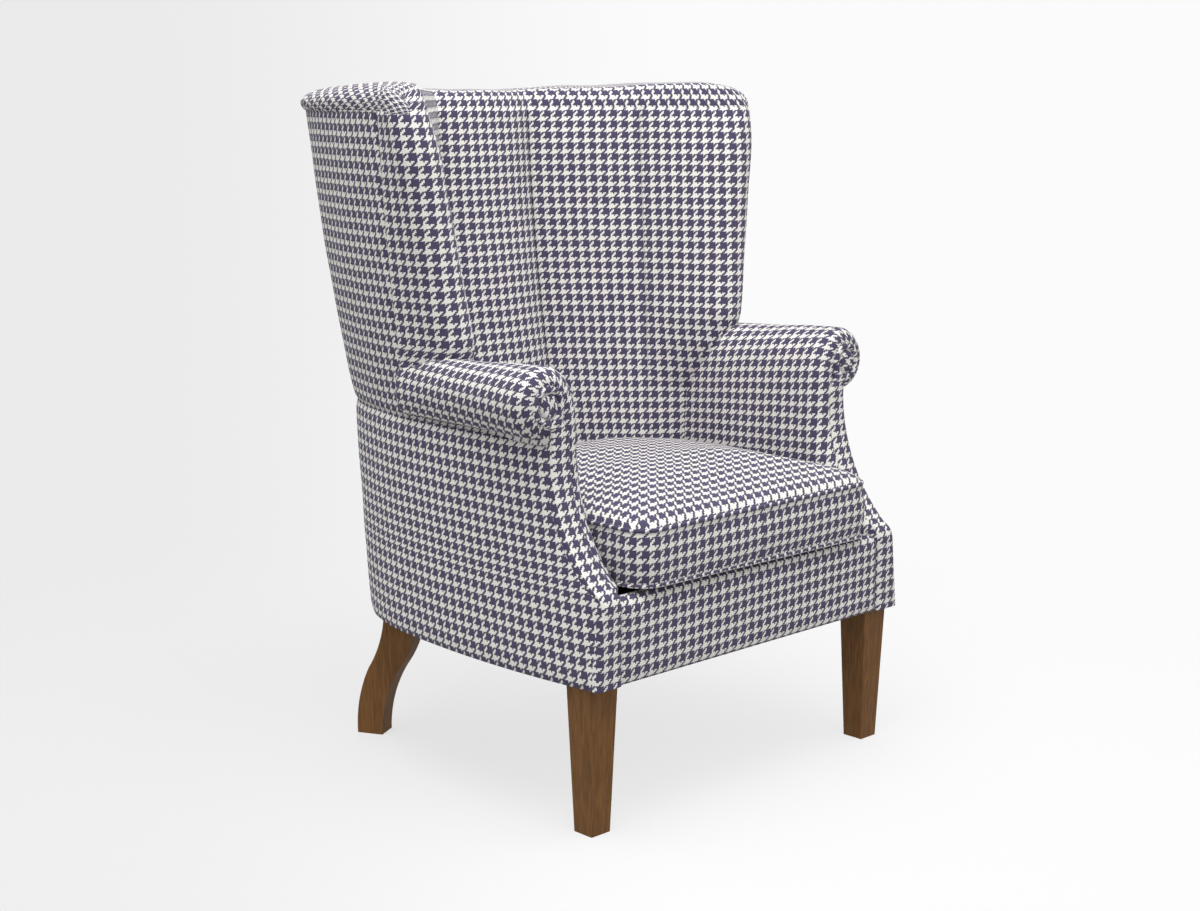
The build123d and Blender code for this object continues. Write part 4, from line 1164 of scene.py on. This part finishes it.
class ARMCHAIR_OT_cushion(bpy.types.Operator):
    """Builds the loose seat cushion: crowned top, side band, underside and corded edges"""

    bl_idname = "armchair.cushion"
    bl_label = "Seat cushion"

    def execute(self, context):
        repeat = repeat_of(context)
        swell = context.scene.armchair_form.cushion_swell / MM
        share = np.concatenate([np.linspace(0, 0.16, 10), np.linspace(0.2, 1.0, 26)])
        points = cushion_face(share, CUSHION_HIGH, CUSHION_CROWN - CUSHION_HIGH)
        uv = points[..., :2] / repeat
        points[..., 2] += 1.6 * ripple(points, size=150.0, seed=71) * smooth(share, 0.02, 0.3)[:, None]
        piece(context, "cushion_top", points, uv, CUSHION_FILL, True, "cushion")
        points = cushion_face(share, CUSHION_LOW, CUSHION_UNDER)[:, ::-1]
        uv = points[..., :2] / repeat
        points[..., 2] += front_lift(points)
        piece(context, "cushion_bottom", points, uv, CUSHION_FILL, True, "cushion")
        rise = np.linspace(0, 1, 22)
        rows = [cushion_outline(1.0 - swell * sin(pi * t) ** 0.8) for t in rise]
        points = lifted(np.array(rows), blend(CUSHION_LOW, CUSHION_HIGH, rise)[:, None])
        across = sideways(points) + 0.25 * repeat
        points[..., 2] += front_lift(points) * (1 - rise)[:, None]
        uv = cloth_uv(across, points[..., 2] - CUSHION_HIGH, repeat)
        points = rippled(points, depth=0.8, size=110.0, seed=72)
        points[:, -1] = points[:, 0]
        piece(context, "cushion_boxing", points, uv, CUSHION_FILL, True, "cushion", ["cushion_core"])
        points = cord(CUSHION_HIGH, CORD_TOP)
        uv = cloth_uv(sideways(points), upward(points), repeat)
        piece(context, "cushion_piping_top", points, uv, CORD_FILL, True, "cushion")
        points = cord(CUSHION_LOW, CORD_BOTTOM)
        uv = cloth_uv(sideways(points), upward(points), repeat)
        points[..., 2] += front_lift(points)
        piece(context, "cushion_piping_bottom", points, uv, CORD_FILL, True, "cushion")
        return {"FINISHED"}


def spread(half, stations, share, height):
    """Grid of points at stations, with the half width there times shares from -1 to 1."""
    return np.stack(np.broadcast_arrays(half[:, None] * share, stations[:, None] + FRONT, height), -1)


class ARMCHAIR_OT_linings(bpy.types.Operator):
    """Builds the platform under the cushion and the cloth under the seat"""

    bl_idname = "armchair.linings"
    bl_label = "Linings"

    def execute(self, context):
        repeat = repeat_of(context)
        lining = plain_cloth_material()
        share = np.linspace(-1, 1, 60)
        stations = np.linspace(PLATFORM_FRONT, PLATFORM_BACK, 50)
        half = np.interp(stations, [WING, PLATFORM_REAR[0]], [PLATFORM_HALF, PLATFORM_REAR[1]])
        edge = np.minimum(1 - np.abs(share), (stations - PLATFORM_FRONT)[:, None] / PLATFORM_REACH)
        drop = PLATFORM_DROP * np.clip(1 - edge / PLATFORM_EDGE, 0, 1) ** 2
        points = spread(half, stations, share, SEAT - drop)
        obj = mesh_object("seat_platform_cover", points, points[..., :2] / repeat, lining)
        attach(obj, "chair")
        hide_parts("seat_platform")
        run = join(*[arc_points(arc, 60, -DUST_INSET) for arc in outside_arcs(HEM)])
        stations = np.linspace(DUST_FRONT, run[:, 1].max() - 0.5, 60)
        half = np.interp(stations, run[:, 1], run[:, 0])
        sag = np.sin(np.linspace(0, pi, len(stations)))[:, None] * np.cos(share * pi / 2)
        points = spread(half, stations, share, DUST_HEIGHT - DUST_SAG * sag)[:, ::-1]
        obj = mesh_object("dust_cover_cloth", points, points[..., :2] / repeat, lining)
        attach(obj, "chair")
        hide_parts("dust_cover")
        return {"FINISHED"}


class ARMCHAIR_OT_legs(bpy.types.Operator):
    """Stains the wooden legs"""

    bl_idname = "armchair.legs"
    bl_label = "Legs"

    def execute(self, context):
        wood = wood_material(context.scene.armchair_cloth)
        for name in ("front_leg_left", "front_leg_right", "rear_leg_left", "rear_leg_right"):
            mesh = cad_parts[name].data
            mesh.materials.clear()
            mesh.materials.append(wood)
        return {"FINISHED"}


# Stage
def area_light(name, place, target, size, power):
    """Square soft light that faces a target."""
    light = bpy.data.lights.new(name, "AREA")
    light.size, light.energy = size, power
    obj = bpy.data.objects.new(name, light)
    bpy.context.scene.collection.objects.link(obj)
    way = Vector(target) - Vector(place)
    obj.matrix_world = Matrix.Translation(place) @ way.to_track_quat("-Z", "Y").to_matrix().to_4x4()


def add_floor(scene):
    """Thin white floor that shows the chair's shadow and fades out around it."""
    floor, tree, shader = new_material("Floor", roughness=0.9, specular=0.1)
    shader.inputs["Base Color"].default_value = (0.88, 0.88, 0.885, 1.0)
    place = node(tree, "ShaderNodeTexCoord").outputs["Object"]
    away = node(tree, "ShaderNodeVectorMath", operation="LENGTH", in0=place).outputs["Value"]
    alpha = map_range(tree, away, FLOOR_FADE, (FLOOR_SHARE, 0.0), "SMOOTHSTEP")
    put(tree, shader.inputs["Alpha"], alpha)
    mesh = bpy.data.meshes.new("floor")
    low, high = -FLOOR_HALF, FLOOR_HALF
    mesh.from_pydata([(low, low, 0), (high, low, 0), (high, high, 0), (low, high, 0)], [], [(0, 1, 2, 3)])
    mesh.materials.append(floor)
    ground = bpy.data.objects.new("floor", mesh)
    scene.collection.objects.link(ground)


def add_surroundings(scene, ambient):
    """White world: dimmer from below, and graded from left to right where the camera sees it, a painted
    shade that makes the backdrop darker on the left.
    """
    world = bpy.data.worlds.new("Surroundings")
    world.use_nodes = True
    scene.world = world
    tree = world.node_tree
    way = node(tree, "ShaderNodeTexCoord").outputs["Generated"]
    side = node(tree, "ShaderNodeVectorMath", operation="DOT_PRODUCT", in0=way, in1=CAMERA_RIGHT)
    # Painted shade: only camera rays see the backdrop darker on the left than on the right
    painted_backdrop_shade = map_range(tree, side.outputs["Value"], BACKDROP_SHADE_FADE, BACKDROP_SHADE_LEVELS, "SMOOTHSTEP")
    tall = node(tree, "ShaderNodeSeparateXYZ", in0=way).outputs[2]
    dim = map_range(tree, tall, LOWER_FADE, (LOWER_LIGHT * ambient, ambient))
    camera_ray = node(tree, "ShaderNodeLightPath").outputs["Is Camera Ray"]
    seen = math_node(tree, "MULTIPLY", camera_ray, math_node(tree, "SUBTRACT", painted_backdrop_shade, dim))
    back = tree.nodes["Background"]
    back.inputs["Color"].default_value = (1.0, 1.0, 1.0, 1.0)
    put(tree, back.inputs["Strength"], math_node(tree, "ADD", seen, dim))


def add_camera(scene, lens):
    """Camera of the photograph."""
    camera = bpy.data.cameras.new("camera")
    camera.sensor_width, camera.lens = 36.0, lens
    camera.shift_x, camera.shift_y = CAMERA_SHIFT
    obj = bpy.data.objects.new("camera", camera)
    scene.collection.objects.link(obj)
    ahead = Vector(CAMERA_AHEAD).normalized()
    right = ahead.cross(Vector((0, 0, 1))).normalized()
    turn = Matrix((right, right.cross(ahead), -ahead)).transposed().to_4x4()
    obj.matrix_world = Matrix.Translation(CAMERA_PLACE) @ turn
    scene.camera = obj


class ARMCHAIR_OT_stage(bpy.types.Operator):
    """Sets floor, surroundings, lights and camera"""

    bl_idname = "armchair.stage"
    bl_label = "Stage"

    def execute(self, context):
        scene, settings = context.scene, context.scene.armchair_stage
        add_floor(scene)
        add_surroundings(scene, settings.ambient)
        area_light("key", KEY_PLACE, KEY_TARGET, KEY_SIZE, settings.key_power)
        area_light("fill", FILL_PLACE, FILL_TARGET, FILL_SIZE, settings.fill_power)
        add_camera(scene, settings.lens)
        scene.view_settings.view_transform = "Standard"
        return {"FINISHED"}


class ARMCHAIR_PT_panel(bpy.types.Panel):
    """Sidebar panel with the settings and the build buttons"""

    bl_idname = "ARMCHAIR_PT_panel"
    bl_label = "Wing Armchair"
    bl_space_type = "VIEW_3D"
    bl_region_type = "UI"
    bl_category = "Armchair"

    def draw(self, context):
        for holder, group in GROUPS.items():
            for name in group.__annotations__:
                self.layout.prop(getattr(context.scene, holder), name)
        for operator in OPERATORS:
            self.layout.operator(operator.bl_idname)


OPERATORS = (
    ARMCHAIR_OT_outside,
    ARMCHAIR_OT_wings,
    ARMCHAIR_OT_inside_back,
    ARMCHAIR_OT_top_roll,
    ARMCHAIR_OT_arms,
    ARMCHAIR_OT_facings,
    ARMCHAIR_OT_front_border,
    ARMCHAIR_OT_cushion,
    ARMCHAIR_OT_linings,
    ARMCHAIR_OT_legs,
    ARMCHAIR_OT_stage,
)
GROUPS = {"armchair_cloth": ArmchairCloth, "armchair_form": ArmchairForm, "armchair_stage": ArmchairStage}


def register():
    """Adds the settings, operators and panel."""
    for name, group in GROUPS.items():
        bpy.utils.register_class(group)
        setattr(bpy.types.Scene, name, bpy.props.PointerProperty(type=group))
    for kind in OPERATORS + (ARMCHAIR_PT_panel,):
        bpy.utils.register_class(kind)


def unregister():
    """Removes what register added."""
    for kind in OPERATORS + (ARMCHAIR_PT_panel,):
        bpy.utils.unregister_class(kind)
    for name, group in GROUPS.items():
        delattr(bpy.types.Scene, name)
        bpy.utils.unregister_class(group)


def main():
    """Registers the add-on, builds every piece and the stage."""
    register()
    bpy.ops.armchair.outside()
    bpy.ops.armchair.wings()
    bpy.ops.armchair.inside_back()
    bpy.ops.armchair.top_roll()
    bpy.ops.armchair.arms()
    bpy.ops.armchair.facings()
    bpy.ops.armchair.front_border()
    bpy.ops.armchair.cushion()
    bpy.ops.armchair.linings()
    bpy.ops.armchair.legs()
    bpy.ops.armchair.stage()


if __name__ == "__main__":
    main()
